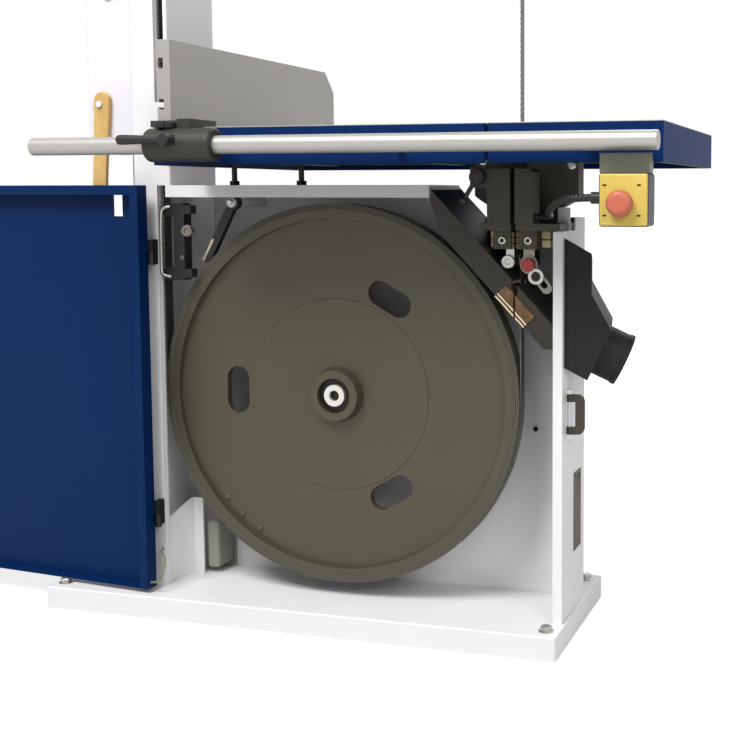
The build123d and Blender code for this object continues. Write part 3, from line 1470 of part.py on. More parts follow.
def fence_plate():
    foot = table_top_z + fence_lift
    top = foot + fence_h
    outline = [(fence_y0, foot), (fence_y1, foot), (fence_y1, top - fence_corner),
               (fence_y1 - fence_corner, top), (fence_y0, top)]
    back_x = fence_face_x - fence_t
    plate = prism_x(outline, back_x, fence_face_x)
    for rise in fence_groove_zs:
        z = foot + rise
        half = fence_groove_w / 2
        plate -= block(back_x, back_x + fence_groove_d, fence_y0, fence_y1, z - half, z + half)
        plate -= block(back_x + fence_groove_d / 2, back_x + 1.8 * fence_groove_d, fence_y0, fence_y1,
                       z - 2 * half, z + 2 * half)
    return plate


def fence_lever():
    z = rail_z + lever_rise
    y1 = rail_y - head_r - lever_boss_out - seat_gap
    y0 = y1 - lever_hub_t
    mid = (y0 + y1) / 2
    lever = rod_y(lever_x, y0, y1, z, lever_boss_r)
    lever += rod_x(lever_x - lever_len, lever_x, mid, z, lever_rod_r)
    lever += rod_x(lever_x - lever_len, lever_x - lever_len + lever_grip_len, mid, z, lever_grip_r)
    return lever - rod_y(lever_x, y0, y1, z, lever_pin_r + fit_gap)


def fence_knob():
    seat = rail_z + head_r
    knob = Pos(fence_knob_x, rail_y, seat + seat_gap) * star_knob(fence_knob_r, fence_knob_h, 6)
    return knob + rod_z(fence_knob_x, rail_y, seat - fence_stem_len + 1, seat + seat_gap + 1, fence_stem_r)


# Emergency stop: box under a bracket on the table's front edge


def estop_bracket():
    return block(estop_bracket_x0, estop_bracket_x0 + estop_bracket_w, estop_bracket_front, table_front,
                 estop_bracket_z0, estop_bracket_z0 + estop_bracket_h)


def mushroom_axis():
    return estop_x0 + mushroom_side, estop_top - mushroom_drop


def estop_box():
    box = block(estop_x0, estop_x1, estop_y0, estop_y1, estop_top - estop_h, estop_top)
    box = fillet(box.edges().filter_by(Axis.Y), estop_edge_r)
    x, z = mushroom_axis()
    depth = mushroom_gap + mushroom_travel + mushroom_room
    box -= rod_y(x, estop_y0, estop_y0 + depth, z, mushroom_stem_r + fit_gap)
    gland_z = estop_top - cable_gland_drop
    return box + rod_x(estop_x0 - cable_gland_len, estop_x0, cable_gland_y, gland_z, cable_gland_r)


def estop_button():
    x, z = mushroom_axis()
    cap_y1 = estop_y0 - mushroom_gap
    cap = rod_y(x, cap_y1 - mushroom_h, cap_y1, z, mushroom_r)
    cap = fillet(cap.edges().sort_by(Axis.Y)[0:1], mushroom_h * 0.6)
    return cap + rod_y(x, cap_y1, estop_y0 + mushroom_gap, z, mushroom_stem_r)


def route_radii(points):
    """Largest tangent arcs that the runs beside each corner leave room for."""
    radii = []
    for before, corner, after in zip(points, points[1:], points[2:]):
        run_in = Vector(*corner) - Vector(*before)
        run_out = Vector(*after) - Vector(*corner)
        half_turn = math.radians(run_in.get_angle(run_out)) / 2
        radii.append(0.45 * min(run_in.length, run_out.length) / math.tan(half_turn))
    return radii


def cord(name, points, dia):
    """Round cord along a route with rounded corners."""
    radii = route_radii(points)
    path = FilletPolyline(*points, radius=radii)
    section = Plane(origin=path @ 0, z_dir=path % 0) * Circle(dia / 2)
    tube = sweep(section, path=path)
    ratio = tube.volume / (math.pi * dia ** 2 / 4 * path.length)
    print(name, "radii", [round(r) for r in radii])
    print(name, "length", round(path.length), "volume ratio", round(ratio, 3))
    return tube


def estop_cable():
    start = (estop_x0 - cable_gland_len, cable_gland_y, estop_top - cable_gland_drop)
    lead = (start[0] - cable_lead, start[1], start[2])
    last = cable_route[-1]
    return cord("estop cable", [start, lead] + cable_route + [(blade_x + slab_right, last[1], last[2])], cable_dia)


def earth_wire():
    last = (lower_hinge_x - wire_reach, wire_route[-1][1], wire_route[-1][2])
    first = (column_front_x - wire_start, front_y, wire_route[0][2])
    return cord("earth wire", [first] + wire_route + [last], wire_dia)


pieces = {
    "base_plinth": base_plinth(),
    "column": column(),
    "lower_cabinet": lower_cabinet(),
    "upper_housing": upper_housing(),
    "chip_guard": chip_guard(),
    "blade_slot_block": blade_slot_block(),
    "dust_hood": dust_hood(),
    "shaft_bearing_unit": shaft_bearing_unit(),
    "lower_wheel": band_wheel(lower_axis_z, shaft_r),
    "lower_tyre": tyre(lower_axis_z),
    "lower_shaft": lower_shaft(),
    "shaft_pulley": shaft_pulley(),
    "motor_pulley": motor_pulley(),
    "drive_belt": drive_belt(),
    "motor_housing": motor_housing(),
    "blade": blade(),
    "upper_wheel": band_wheel(upper_axis_z, shaft_r + fit_gap),
    "upper_tyre": tyre(upper_axis_z),
    "tension_slideway": tension_slideway(),
    "tension_carriage": tension_carriage(),
    "tension_handwheel": tension_handwheel(),
    "lower_door": lower_door(),
    "upper_door": upper_door(),
    "upper_door_knob": upper_door_knob(),
    "door_hinge_pins": door_hinge_pins(),
    "door_latch": door_latch(),
    "control_box": control_box(),
    "start_button": panel_button(start_button_z),
    "stop_button": panel_button(stop_button_z),
    "push_stick": push_stick(),
    "return_run_guard": return_run_guard(),
    "scraper_arm": scraper_arm(),
    "table": table(),
    "table_insert": table_insert(),
    "trunnion_segment": trunnion_segment(),
    "trunnion_cradle": trunnion_cradle(),
    "tilt_clamp_lever": tilt_clamp_lever(),
    "tilt_stop_screws": tilt_stop_screws(),
    "lower_guide_blocks": lower_guide_blocks(),
    "lower_guide_pads": guide_pads(cradle_z0),
    "lower_thrust_roller": thrust_roller(cradle_z0),
    "thrust_link": thrust_link(),
    "guide_lock_knob": guide_lock_knob(),
    "guide_post": guide_post(),
    "post_sleeve": post_sleeve(),
    "guide_handwheel": guide_handwheel(),
    "upper_guide_carrier": upper_guide_carrier(),
    "upper_guide_pads": guide_pads(upper_guide_z),
    "upper_thrust_roller": thrust_roller(upper_guide_z),
    "blade_guard": blade_guard(),
    "fence_rail": fence_rail(),
    "fence_head": fence_head(),
    "fence_plate": fence_plate(),
    "fence_lever": fence_lever(),
    "fence_knob": fence_knob(),
    "estop_bracket": estop_bracket(),
    "estop_box": estop_box(),
    "estop_button": estop_button(),
    "estop_cable": estop_cable(),
    "earth_wire": earth_wire(),
}

os.makedirs("parts", exist_ok=True)
for name, piece in pieces.items():
    export_step(piece, f"parts/{name}.step")
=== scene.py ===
import math

import bpy
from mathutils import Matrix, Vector


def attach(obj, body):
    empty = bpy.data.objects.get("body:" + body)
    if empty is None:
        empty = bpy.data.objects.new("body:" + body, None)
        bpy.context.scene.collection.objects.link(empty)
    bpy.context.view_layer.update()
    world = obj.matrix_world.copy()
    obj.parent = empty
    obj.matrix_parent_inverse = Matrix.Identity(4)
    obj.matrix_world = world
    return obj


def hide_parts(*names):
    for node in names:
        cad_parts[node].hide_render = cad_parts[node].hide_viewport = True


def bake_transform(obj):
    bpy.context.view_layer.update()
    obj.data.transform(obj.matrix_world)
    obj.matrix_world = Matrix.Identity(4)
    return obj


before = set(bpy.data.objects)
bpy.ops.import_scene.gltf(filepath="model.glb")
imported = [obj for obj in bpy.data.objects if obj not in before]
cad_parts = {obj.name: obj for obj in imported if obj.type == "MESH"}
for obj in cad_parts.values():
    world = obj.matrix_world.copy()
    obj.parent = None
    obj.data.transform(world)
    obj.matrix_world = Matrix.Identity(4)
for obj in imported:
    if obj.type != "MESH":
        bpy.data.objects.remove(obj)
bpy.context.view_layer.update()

# Plinth: a folded and welded steel box on the floor, enamelled light grey.
# It is bolted down through solid pads in its corners, with washers under the hexagon heads.
mm = 0.001
up, front = (0, 0, 1), (0, -1, 0)
left, rear = (-1, 0, 0), (0, 1, 0)


def only(piece):
    """Makes this piece the one that operators act on."""
    bpy.ops.object.select_all(action="DESELECT")
    piece.select_set(True)
    bpy.context.view_layer.objects.active = piece


def smoothed(piece, angle=32):
    only(piece)
    bpy.ops.object.shade_smooth_by_angle(angle=math.radians(angle))
    return piece


def rounded(piece, edge, steps=2, angle=32):
    """Breaks the sharp edges by this many millimetres."""
    only(piece)
    if edge:
        bevel = piece.modifiers.new("edge", "BEVEL")
        bevel.width = edge * mm
        bevel.segments = steps
        bevel.limit_method = "ANGLE"
        bevel.angle_limit = math.radians(angle)
        bpy.ops.object.modifier_apply(modifier="edge")
        smoothed(piece, angle)
        level = piece.modifiers.new("level", "WEIGHTED_NORMAL")
        level.keep_sharp = True
        bpy.ops.object.modifier_apply(modifier="level")
        return piece
    return smoothed(piece, angle)


def from_cad(node, edge, steps=2, angle=32):
    """A copy of a CAD piece with its facets merged and its edges broken."""
    piece = bpy.data.objects.new(node + "_dressed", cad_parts[node].data.copy())
    bpy.context.collection.objects.link(piece)
    only(piece)
    bpy.ops.mesh.customdata_custom_splitnormals_clear()
    bpy.ops.object.mode_set(mode="EDIT")
    bpy.ops.mesh.select_all(action="SELECT")
    bpy.ops.mesh.remove_doubles(threshold=1e-6)
    bpy.ops.mesh.dissolve_limited(angle_limit=math.radians(0.6))
    bpy.ops.object.mode_set(mode="OBJECT")
    return rounded(piece, edge, steps, angle)


def put(piece, place, towards):
    """Turns a piece made along +Z towards a direction, and sets it in its place."""
    only(piece)
    piece.rotation_mode = "QUATERNION"
    piece.rotation_quaternion = Vector(up).rotation_difference(Vector(towards))
    piece.location = Vector(place) * mm
    bpy.ops.object.transform_apply(location=True, rotation=True, scale=True)
    return piece


def closed(piece):
    """Merges the seams and points the faces outwards."""
    only(piece)
    bpy.ops.object.mode_set(mode="EDIT")
    bpy.ops.mesh.select_all(action="SELECT")
    bpy.ops.mesh.remove_doubles(threshold=1e-6)
    bpy.ops.mesh.normals_make_consistent(inside=False)
    bpy.ops.object.mode_set(mode="OBJECT")
    return piece


def lathe(name, place, towards, rings, sides=32, angle=32):
    """A turned piece: rings of radius and height along the way it points."""
    (radius, height), *others = rings
    bpy.ops.object.select_all(action="DESELECT")
    bpy.ops.mesh.primitive_circle_add(vertices=sides, radius=radius * mm, fill_type="NGON",
                                      location=(0, 0, height * mm))
    piece = bpy.context.object
    piece.name = name
    only(piece)
    bpy.ops.object.transform_apply(location=True, rotation=True, scale=True)
    bpy.ops.object.mode_set(mode="EDIT")
    bpy.ops.mesh.select_all(action="SELECT")
    for r, h in others:
        bpy.ops.mesh.extrude_region_move(TRANSFORM_OT_translate={"value": (0, 0, (h - height) * mm)})
        bpy.ops.transform.resize(value=(r / radius, r / radius, 1), center_override=(0, 0, h * mm))
        radius, height = r, h
    bpy.ops.object.mode_set(mode="OBJECT")
    return smoothed(put(closed(piece), place, towards), angle)


def joined(name, pieces):
    bpy.ops.object.select_all(action="DESELECT")
    for piece in pieces:
        piece.select_set(True)
    bpy.context.view_layer.objects.active = pieces[0]
    if len(pieces) > 1:
        bpy.ops.object.join()
    pieces[0].name = name
    return pieces[0]


def hex_bolt(place, towards, across, head, washer):
    """Hexagon head with a chamfered crown, on a washer."""
    r = across / math.sqrt(3)
    rise = 1.8
    crown = [(r, rise), (r, rise + head * 0.85), (r * 0.86, rise + head), (r * 0.3, rise + head)]
    disc = [(washer, 0), (washer, rise - 0.3), (washer - 0.5, rise)]
    return joined("hex_bolt", [lathe("hex", place, towards, crown, 6, 20),
                               lathe("washer", place, towards, disc, 28)])


def fit(piece, body, slot, finish, *nodes):
    """Gives the piece its finish, the body that it moves with and the CAD pieces it stands for."""
    piece.data.materials.clear()
    piece.data.materials.append(finish)
    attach(piece, body)
    if nodes:
        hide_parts(*nodes)


class Wire:
    """A socket's value, which takes part in plain arithmetic."""

    def __init__(self, finish, socket):
        self.finish = finish
        self.socket = socket

    def maths(self, operation, first, second):
        return self.finish.node("ShaderNodeMath", {"operation": operation}, {0: first, 1: second})

    def __add__(self, other):
        return self.maths("ADD", self, other)

    __radd__ = __add__

    def __mul__(self, other):
        return self.maths("MULTIPLY", self, other)

    __rmul__ = __mul__

    def __sub__(self, other):
        return self.maths("SUBTRACT", self, other)

    def __rsub__(self, other):
        return self.maths("SUBTRACT", other, self)

    def __pow__(self, other):
        return self.maths("POWER", self, other)

    def __gt__(self, other):
        return self.maths("GREATER_THAN", self, other)


class Finish:
    """A surface finish, built on one Principled shader."""

    def __init__(self, name, colour, roughness, metallic=0.0, shine=0.3):
        self.material = bpy.data.materials.new(name)
        self.material.use_nodes = True
        self.tree = self.material.node_tree
        self.shader = self.tree.nodes["Principled BSDF"]
        self.give("Base Color", (*colour, 1))
        self.give("Roughness", roughness)
        self.give("Metallic", metallic)
        self.give("Specular IOR Level", shine)
        self.place = self.node("ShaderNodeTexCoord", {}, {}, "Object")

    def give(self, socket, value):
        if isinstance(value, Wire):
            self.tree.links.new(value.socket, self.shader.inputs[socket])
        else:
            self.shader.inputs[socket].default_value = value

    def node(self, kind, settings, values, out=0):
        node = self.tree.nodes.new(kind)
        for setting, value in settings.items():
            setattr(node, setting, value)
        for socket, value in values.items():
            if isinstance(value, Wire):
                self.tree.links.new(value.socket, node.inputs[socket])
            else:
                node.inputs[socket].default_value = value
        return Wire(self, node.outputs[out])

    def noise(self, scale, detail=3.0, stretch=(1, 1, 1)):
        """Cloudy value from 0 to 1. Stretch draws it out along an axis."""
        at = self.node("ShaderNodeMapping", {}, {"Vector": self.place, "Scale": stretch})
        return self.node("ShaderNodeTexNoise", {}, {"Vector": at, "Scale": scale, "Detail": detail})

    def along(self, axis):
        """How far a point lies along X, Y or Z, in metres."""
        return self.node("ShaderNodeSeparateXYZ", {}, {0: self.place}, axis)

    def from_axis(self, axis):
        """How far a point lies from an axis along Y, which is given by its X and Z."""
        start = (-axis[0], 0, -axis[1])
        at = self.node("ShaderNodeMapping", {}, {"Vector": self.place, "Location": start})
        x = self.node("ShaderNodeSeparateXYZ", {}, {0: at}, "X")
        z = self.node("ShaderNodeSeparateXYZ", {}, {0: at}, "Z")
        return (x * x + z * z) ** 0.5

    def wave(self, value):
        return self.node("ShaderNodeMath", {"operation": "SINE"}, {0: value})

    def ramp(self, value, low, high):
        """The value spread from 0 at low to 1 at high."""
        return self.node("ShaderNodeMapRange", {}, {0: value, 1: low, 2: high, 3: 0.0, 4: 1.0})

    def mix(self, amount, first, second):
        first = (*first, 1) if isinstance(first, tuple) else first
        second = (*second, 1) if isinstance(second, tuple) else second
        return self.node("ShaderNodeMix", {"data_type": "RGBA"}, {0: amount, 6: first, 7: second}, 2)

    def bump(self, height, depth, strength):
        values = {"Height": height, "Distance": depth, "Strength": strength}
        self.give("Normal", self.node("ShaderNodeBump", {}, values))


def srgb(red, green, blue):
    """A colour as it is seen, 0 to 255, as the linear one that shaders take."""
    return tuple(((v / 255 + 0.055) / 1.055) ** 2.4 if v > 10 else v / 3295 for v in (red, green, blue))


def shade(colour, factor):
    return tuple(min(v * factor, 1.0) for v in colour)


def enamel(name, colour, gloss=0.36, mottle=0.05, shine=0.3):
    """Sprayed enamel: orange peel, faint cloudiness, thin dust and a few rubbed spots."""
    paint = Finish(name, colour, gloss, 0.0, shine)
    clouds = paint.noise(7.0, 5.0)
    dust = paint.ramp(paint.noise(55.0, 8.0), 0.56, 0.78)
    tone = paint.mix(clouds, shade(colour, 1 - mottle), shade(colour, 1 + mottle))
    dusty = tuple(v * 0.86 + 0.03 for v in colour)
    paint.give("Base Color", paint.mix(dust * 0.35, tone, dusty))
    paint.give("Roughness", gloss + 0.12 * clouds + 0.1 * dust)
    paint.bump(paint.noise(950.0, 2.0), 0.00012, 0.3)
    return paint.material


grey_enamel = enamel("light_grey_enamel", srgb(222, 220, 221))


def plated(name, colour, roughness=0.3):
    """Bright plated or turned steel with fine turning marks and a dull film."""
    metal = Finish(name, colour, roughness, 0.9)
    film = metal.noise(90.0, 5.0)
    metal.give("Base Color", metal.mix(film, shade(colour, 0.82), shade(colour, 1.08)))
    metal.give("Roughness", roughness - 0.08 + 0.22 * film)
    metal.bump(metal.noise(2600.0, 2.0), 0.00005, 0.25)
    return metal.material


bolt_zinc = plated("zinc_plated_steel", srgb(176, 174, 168))
fit(from_cad("base_plinth", 0.8), "frame", "body_paint", grey_enamel, "base_plinth")
plinth_top, bolt_xs, bolt_ys = 42, (-538, 418), (-69, 231)
floor_bolts = [hex_bolt((x, y, plinth_top), up, 18, 8, 13) for x in bolt_xs for y in bolt_ys]
fit(joined("floor_bolt_heads", floor_bolts), "frame", "steel", bolt_zinc)

# Column: a folded channel of 5 mm plate round the blade's return run, with a rounded front lip.
# It is welded to the plinth and carries the upper housing, and a low wall stands in its foot.
fit(from_cad("column", 0.8), "frame", "body_paint", grey_enamel, "column")

# Lower cabinet: back wall, right wall and top plate of 3 mm sheet, welded to the column and the plinth.
# A grey-green door switch sits on the back wall, and rubber edging lines the slot in the right wall; the
# edging's dark grey is also painted shade of the slot.
fit(from_cad("lower_cabinet", 0.6), "frame", "body_paint", grey_enamel, "lower_cabinet")


def bar(name, low, high, edge, steps=2):
    """A square-cut block or plate between two corners, its edges broken."""
    low, high = Vector(low) * mm, Vector(high) * mm
    bpy.ops.object.select_all(action="DESELECT")
    bpy.ops.mesh.primitive_cube_add(size=1, location=(low + high) / 2, scale=high - low)
    piece = bpy.context.object
    piece.name = name
    only(piece)
    bpy.ops.object.transform_apply(location=True, rotation=True, scale=True)
    return rounded(piece, edge, steps)


def cap_screw(place, towards, r, head):
    """Cylinder head with a hexagon socket."""
    rings = [(r, 0), (r, head - 0.8), (r - 0.8, head), (r * 0.58, head), (r * 0.52, head - 0.5),
             (r * 0.5, head * 0.35)]
    return lathe("cap_screw", place, towards, rings, 24, 25)


def moulded(name, colour, roughness=0.42, grain=1400.0, depth=0.00008, shine=0.3):
    """Moulded plastic: a fine grain, slightly uneven gloss and faint handling marks."""
    plastic = Finish(name, colour, roughness, 0.0, shine)
    marks = plastic.noise(28.0, 6.0)
    plastic.give("Base Color", plastic.mix(marks, shade(colour, 0.88), shade(colour, 1.12)))
    plastic.give("Roughness", roughness - 0.06 + 0.16 * marks)
    plastic.bump(plastic.noise(grain, 2.0), depth, 0.35)
    return plastic.material


switch_grey = moulded("grey_green_plastic", srgb(134, 137, 126))
switch = joined("door_switch", [
    bar("switch_body", (-311, 64, 52), (-284, 125, 146), 7.0, 4),
    bar("switch_foot", (-311, 122, 46), (-280, 128, 152), 1.2),
])
fit(switch, "frame", "panel_paint", switch_grey)
black_zinc = plated("blackened_steel", srgb(46, 45, 44), 0.42)
back_wall_y, wall_screw_spots = 128, ((345, 352), (-306, 77), (120, 700), (-120, 700))
wall_screws = [cap_screw((x, back_wall_y, z), front, 4.5, 4) for x, z in wall_screw_spots]
fit(joined("wall_screws", wall_screws), "frame", "steel", black_zinc)
# The edging's dark grey stands in for the shade inside the slot, as painted shade.
edging_rubber_and_slot_shade = moulded("edging_rubber_and_slot_shade", srgb(92, 90, 82), 0.6)
edging_in, edging_out = 429, 437.6
slot_edging = joined("slot_edging", [
    bar("edging_rear", (423.5, 97.2, 149), (edging_out, 102, 291), 0.8),
    bar("edging_front", (edging_in, 52, 149), (edging_out, 56.8, 291), 0.8),
    bar("edging_top", (edging_in, 52, 285.2), (edging_out, 102, 291), 0.8),
    bar("edging_foot", (edging_in, 52, 149), (edging_out, 102, 154.8), 0.8),
])
fit(slot_edging, "frame", "rubber", edging_rubber_and_slot_shade)

# Chip guard: a dark sheet that slopes to the right wall, its brown-black front edge folded down, its top
# painted green-black as shade.
# The blade passes through a slitted hardwood block in the fold, with pale wear strips on its lower edge.
guard_brown, guard_top_shade_green = srgb(38, 34, 28), srgb(34, 42, 37)
guard_paint = Finish("chip_guard_paint", guard_brown, 0.36)
smears = guard_paint.noise(34.0, 6.0, (1, 0.4, 1))
fold_rear_y = -0.0288
# Behind the fold the sheet's top gets a green-black tone as painted shade.
behind = guard_paint.along("Y") > fold_rear_y
guard_tone_and_shade = guard_paint.mix(behind, guard_brown, guard_top_shade_green)
smeared = guard_paint.ramp(smears, 0.5, 0.8) * 0.4
guard_paint.give("Base Color", guard_paint.mix(smeared, guard_tone_and_shade, srgb(70, 64, 52)))
guard_paint.give("Roughness", 0.26 + 0.24 * smears)
guard_paint.bump(guard_paint.noise(700.0, 3.0), 0.0001, 0.3)
fit(from_cad("chip_guard", 0.8), "frame", "black_sheet", guard_paint.material, "chip_guard")
wood_brown, wood_dark = srgb(122, 92, 62), srgb(82, 58, 38)
strip_cream, strip_dark = srgb(226, 210, 178), srgb(70, 50, 34)
slot_wood = Finish("slot_block_wood", wood_brown, 0.5)
streaks = slot_wood.noise(260.0, 5.0, (0.25, 1, 0.25))
slope_x, slope_z, strips_per_m = 0.7243, 0.6895, 1050.0
strips_end, block_face_y = 0.662, -0.0325
across = slot_wood.along("X") * slope_x + slot_wood.along("Z") * slope_z
strips = slot_wood.ramp(slot_wood.wave(across * strips_per_m + streaks * 3.0), -0.2, 0.5)
on_face = (block_face_y - slot_wood.along("Y") > 0.0) * (strips_end - across > 0.0)
block_top = slot_wood.mix(slot_wood.ramp(streaks, 0.35, 0.65), wood_dark, wood_brown)
strip_tone = slot_wood.mix(strips, strip_dark, strip_cream)
slot_wood.give("Base Color", slot_wood.mix(on_face, block_top, strip_tone))
slot_wood.give("Roughness", 0.45 + 0.2 * streaks)
slot_wood.bump(streaks, 0.0002, 0.4)
fit(from_cad("blade_slot_block", 1.0), "frame", "wood", slot_wood.material, "blade_slot_block")

# Dust hood: a moulded black shell on the right wall with a 90 mm spigot for the extraction hose.
# A rim band runs round the spigot's mouth.
hood_black = moulded("hood_black_plastic", srgb(36, 37, 34), 0.5, 900.0, 0.00012, 0.12)
fit(from_cad("dust_hood", 3.0, 3), "frame", "black_plastic", hood_black, "dust_hood")
port_at, port_way = (487.2, 35, 518.3), (0.8782, 0.2132, -0.4283)
rim = [(46.2, 38), (46.6, 39), (46.6, 45), (46, 46), (41.8, 46), (41.8, 38)]
port_rim = lathe("port_rim", port_at, port_way, rim, 64)
fit(port_rim, "frame", "black_plastic", hood_black)

# Lower shaft and its bearing unit: a flanged iron housing with two ball bearings, bolted to the wall.
# The shaft is ground steel with a centre hole in its end.


def casting(name, colour, roughness=0.55, grit=420.0, depth=0.0004, metallic=0.15):
    """Painted or bare cast iron: sandy skin, uneven tone and paler flecks on its raised grit."""
    iron = Finish(name, colour, roughness, metallic)
    skin = iron.noise(grit, 6.0)
    tone = iron.noise(14.0, 4.0)
    body = iron.mix(tone, shade(colour, 0.82), shade(colour, 1.18))
    iron.give("Base Color", iron.mix(iron.ramp(skin, 0.52, 0.8) * 0.4, body, shade(colour, 1.5)))
    iron.give("Roughness", roughness - 0.05 + 0.18 * skin)
    iron.bump(skin, depth, 0.45)
    return iron.material


dark_casting = casting("dark_casting", srgb(60, 59, 50))
fit(from_cad("shaft_bearing_unit", 0.8), "frame", "dark_iron", dark_casting, "shaft_bearing_unit")


def turned_metal(name, colour, axis, roughness, metallic):
    """Metal faced on a lathe, its fine rings round an axis along Y."""
    metal = Finish(name, colour, roughness, metallic)
    rings = metal.from_axis(axis) * 900.0
    cuts = metal.node("ShaderNodeTexNoise", {"noise_dimensions": "1D"}, {"W": rings, "Detail": 4.0})
    stain = metal.noise(9.0, 5.0)
    tone = metal.mix(cuts * 0.5 + stain * 0.5, shade(colour, 0.78), shade(colour, 1.22))
    metal.give("Base Color", tone)
    metal.give("Roughness", roughness - 0.08 + 0.16 * stain)
    metal.bump(cuts, 0.00012, 0.5)
    return metal.material


lower_axis, upper_axis = (0, 0.42), (0, 1.89)
shaft_steel = turned_metal("turned_shaft_steel", srgb(206, 203, 195), lower_axis, 0.4, 0.5)
fit(from_cad("lower_shaft", 0.8), "lower_wheel", "steel", shaft_steel, "lower_shaft")

# Band wheels: machined iron castings with three slots in the web, each with a rubber tyre.
# The lower one is held on its shaft by a ring in the hub, and small balance screws sit near its rim.
wheel_colour, tyre_colour = srgb(76, 73, 59), srgb(66, 64, 55)
tyre_dark, tyre_light, ridges_per_m = srgb(44, 43, 37), srgb(92, 89, 78), 1570.0
screw_ring, screw_turns = 312.5, [math.radians(a) for a in (222, 230, 238)]
for wheel, axis_z, axis in (("lower", 420, lower_axis), ("upper", 1890, upper_axis)):
    disc = from_cad(wheel + "_wheel", 1.2, 2, 28)
    iron = turned_metal(wheel + "_wheel_iron", wheel_colour, axis, 0.42, 0.35)
    fit(disc, wheel + "_wheel", "wheel_iron", iron, wheel + "_wheel")
    rubber = Finish(wheel + "_tyre_rubber", tyre_colour, 0.65)
    ridges = rubber.wave(rubber.from_axis(axis) * ridges_per_m)
    rubber.give("Base Color", rubber.mix(rubber.ramp(ridges, -1.0, 1.0), tyre_dark, tyre_light))
    rubber.give("Roughness", 0.6 + 0.15 * rubber.noise(60.0, 5.0))
    rubber.bump(ridges, 0.0004, 0.5)
    fit(from_cad(wheel + "_tyre", 1.0), wheel + "_wheel", "rubber", rubber.material, wheel + "_tyre")

    balance_screws = [
        lathe("balance_screw", (screw_ring * math.cos(a), 12, axis_z + screw_ring * math.sin(a)), front,
              [(5.4, 0), (5.4, 1.6), (4, 3), (1.5, 3.4)], 20)
        for a in screw_turns
    ]
    fit(joined(wheel + "_balance_screws", balance_screws), wheel + "_wheel", "wheel_iron", iron)

# A black ring lies in the hub's recess and a black plug in the shaft's centre hole, as painted shade of
# the deep recess and hole.
ring = lathe("hub_ring_and_recess_shade", (0, -0.4, 420), rear, [(31.4, 0), (31.4, 1.2), (20.4, 1.2), (20.4, 0)], 48, 20)
lug = [(4.2, 0), (4.2, 2.4), (1.4, 2.4), (1.4, 0.6)]
lugs = [lathe("lug", (x, -1.6, 447), rear, lug, 20) for x in (-7, 7)]
hole_shade_plug = lathe("centre_hole_shade_plug", (0, 1, 420), front, [(9.2, 0), (9.2, 2), (6, 3), (5, 1.5)], 32)
fit(joined("hub_ring_and_recess_shade", [ring, hole_shade_plug] + lugs), "lower_wheel", "steel", black_zinc)

# Drive behind the back wall: a grooved pulley on the shaft, one on the motor, and a ribbed belt on both.
# The motor is flanged to a bracket plate that stands on posts welded to the back wall.
pulley_iron = turned_metal("pulley_iron", srgb(60, 58, 55), lower_axis, 0.5, 0.3)
fit(from_cad("shaft_pulley", 0.5), "lower_wheel", "dark_iron", pulley_iron, "shaft_pulley")
motor_iron = turned_metal("motor_pulley_iron", srgb(60, 58, 55), (0.195, 0.255), 0.5, 0.3)
fit(from_cad("motor_pulley", 0.5), "motor_pulley", "dark_iron", motor_iron, "motor_pulley")
belt_rubber = moulded("belt_rubber", srgb(28, 28, 28), 0.75, 1600.0, 0.0002)
fit(from_cad("drive_belt", 0.6), "frame", "rubber", belt_rubber, "drive_belt")
motor_enamel = enamel("motor_enamel", srgb(108, 112, 116), 0.45, 0.08)
fit(from_cad("motor_housing", 0.8, 1), "frame", "motor_paint", motor_enamel, "motor_housing")

# Saw blade: a 25 mm band of spring steel with set teeth on its front edge, welded into a loop.
# It runs over both wheels, teeth down on the cutting side.


def flat(name, points, plane, low, high, edge=0.0, steps=1):
    """A plate cut to an outline in the X-Z or Y-Z plane, from low to high across it."""
    curve = bpy.data.curves.new(name, "CURVE")
    curve.dimensions = "2D"
    curve.fill_mode = "BOTH"
    curve.extrude = (high - low) / 2 * mm
    spline = curve.splines.new("POLY")
    spline.points.add(len(points) - 1)
    for point, (u, v) in zip(spline.points, points):
        point.co = (u * mm, v * mm, 0, 1)
    spline.use_cyclic_u = True
    piece = bpy.data.objects.new(name, curve)
    bpy.context.collection.objects.link(piece)
    only(piece)
    bpy.ops.object.convert(target="MESH")
    piece = bpy.context.object
    middle = (low + high) / 2 * mm
    quarter = math.pi / 2
    piece.rotation_euler = (quarter, 0, 0) if plane == "XZ" else (quarter, 0, quarter)
    piece.location = (0, middle, 0) if plane == "XZ" else (middle, 0, 0)
    bpy.ops.object.transform_apply(location=True, rotation=True, scale=True)
    return rounded(closed(piece), edge, steps)


def copied(piece):
    """Another piece like this one, with its own mesh."""
    twin = piece.copy()
    twin.data = piece.data.copy()
    bpy.context.collection.objects.link(twin)
    return twin


run_pitch, run_teeth, bend_teeth = 9.8, 150, 112
blade_rear, run_foot, blade_in, blade_out = 29, 420, 350.35, 351.25
tooth = [(blade_rear, run_foot), (blade_rear, run_foot + run_pitch), (7.4, run_foot + run_pitch),
         (4, run_foot + 0.3), (6.4, run_foot)]
run = flat("blade_run", tooth, "YZ", blade_in, blade_out)
bend = copied(run)
only(run)
row = run.modifiers.new("teeth", "ARRAY")
row.count = run_teeth
row.use_relative_offset = False
row.use_constant_offset = True
row.constant_offset_displace = (0, 0, run_pitch * mm)
bpy.ops.object.modifier_apply(modifier="teeth")
only(bend)
bend.location = (0, 0, upper_axis[1] - lower_axis[1])
bpy.ops.object.transform_apply(location=True, rotation=True, scale=True)
bpy.ops.object.mode_set(mode="EDIT")
bpy.ops.mesh.select_all(action="SELECT")
bpy.ops.mesh.spin(steps=bend_teeth - 1, dupli=True, angle=math.pi * (bend_teeth - 1) / bend_teeth,
                  center=(0, 0, upper_axis[1]), axis=(0, 1, 0))
bpy.ops.object.mode_set(mode="OBJECT")
half_loop = joined("half_loop", [run, bend])
other_half = copied(half_loop)
only(other_half)
other_half.rotation_euler = (0, math.pi, 0)
other_half.location = (0, 0, lower_axis[1] + upper_axis[1])
bpy.ops.object.transform_apply(location=True, rotation=True, scale=True)


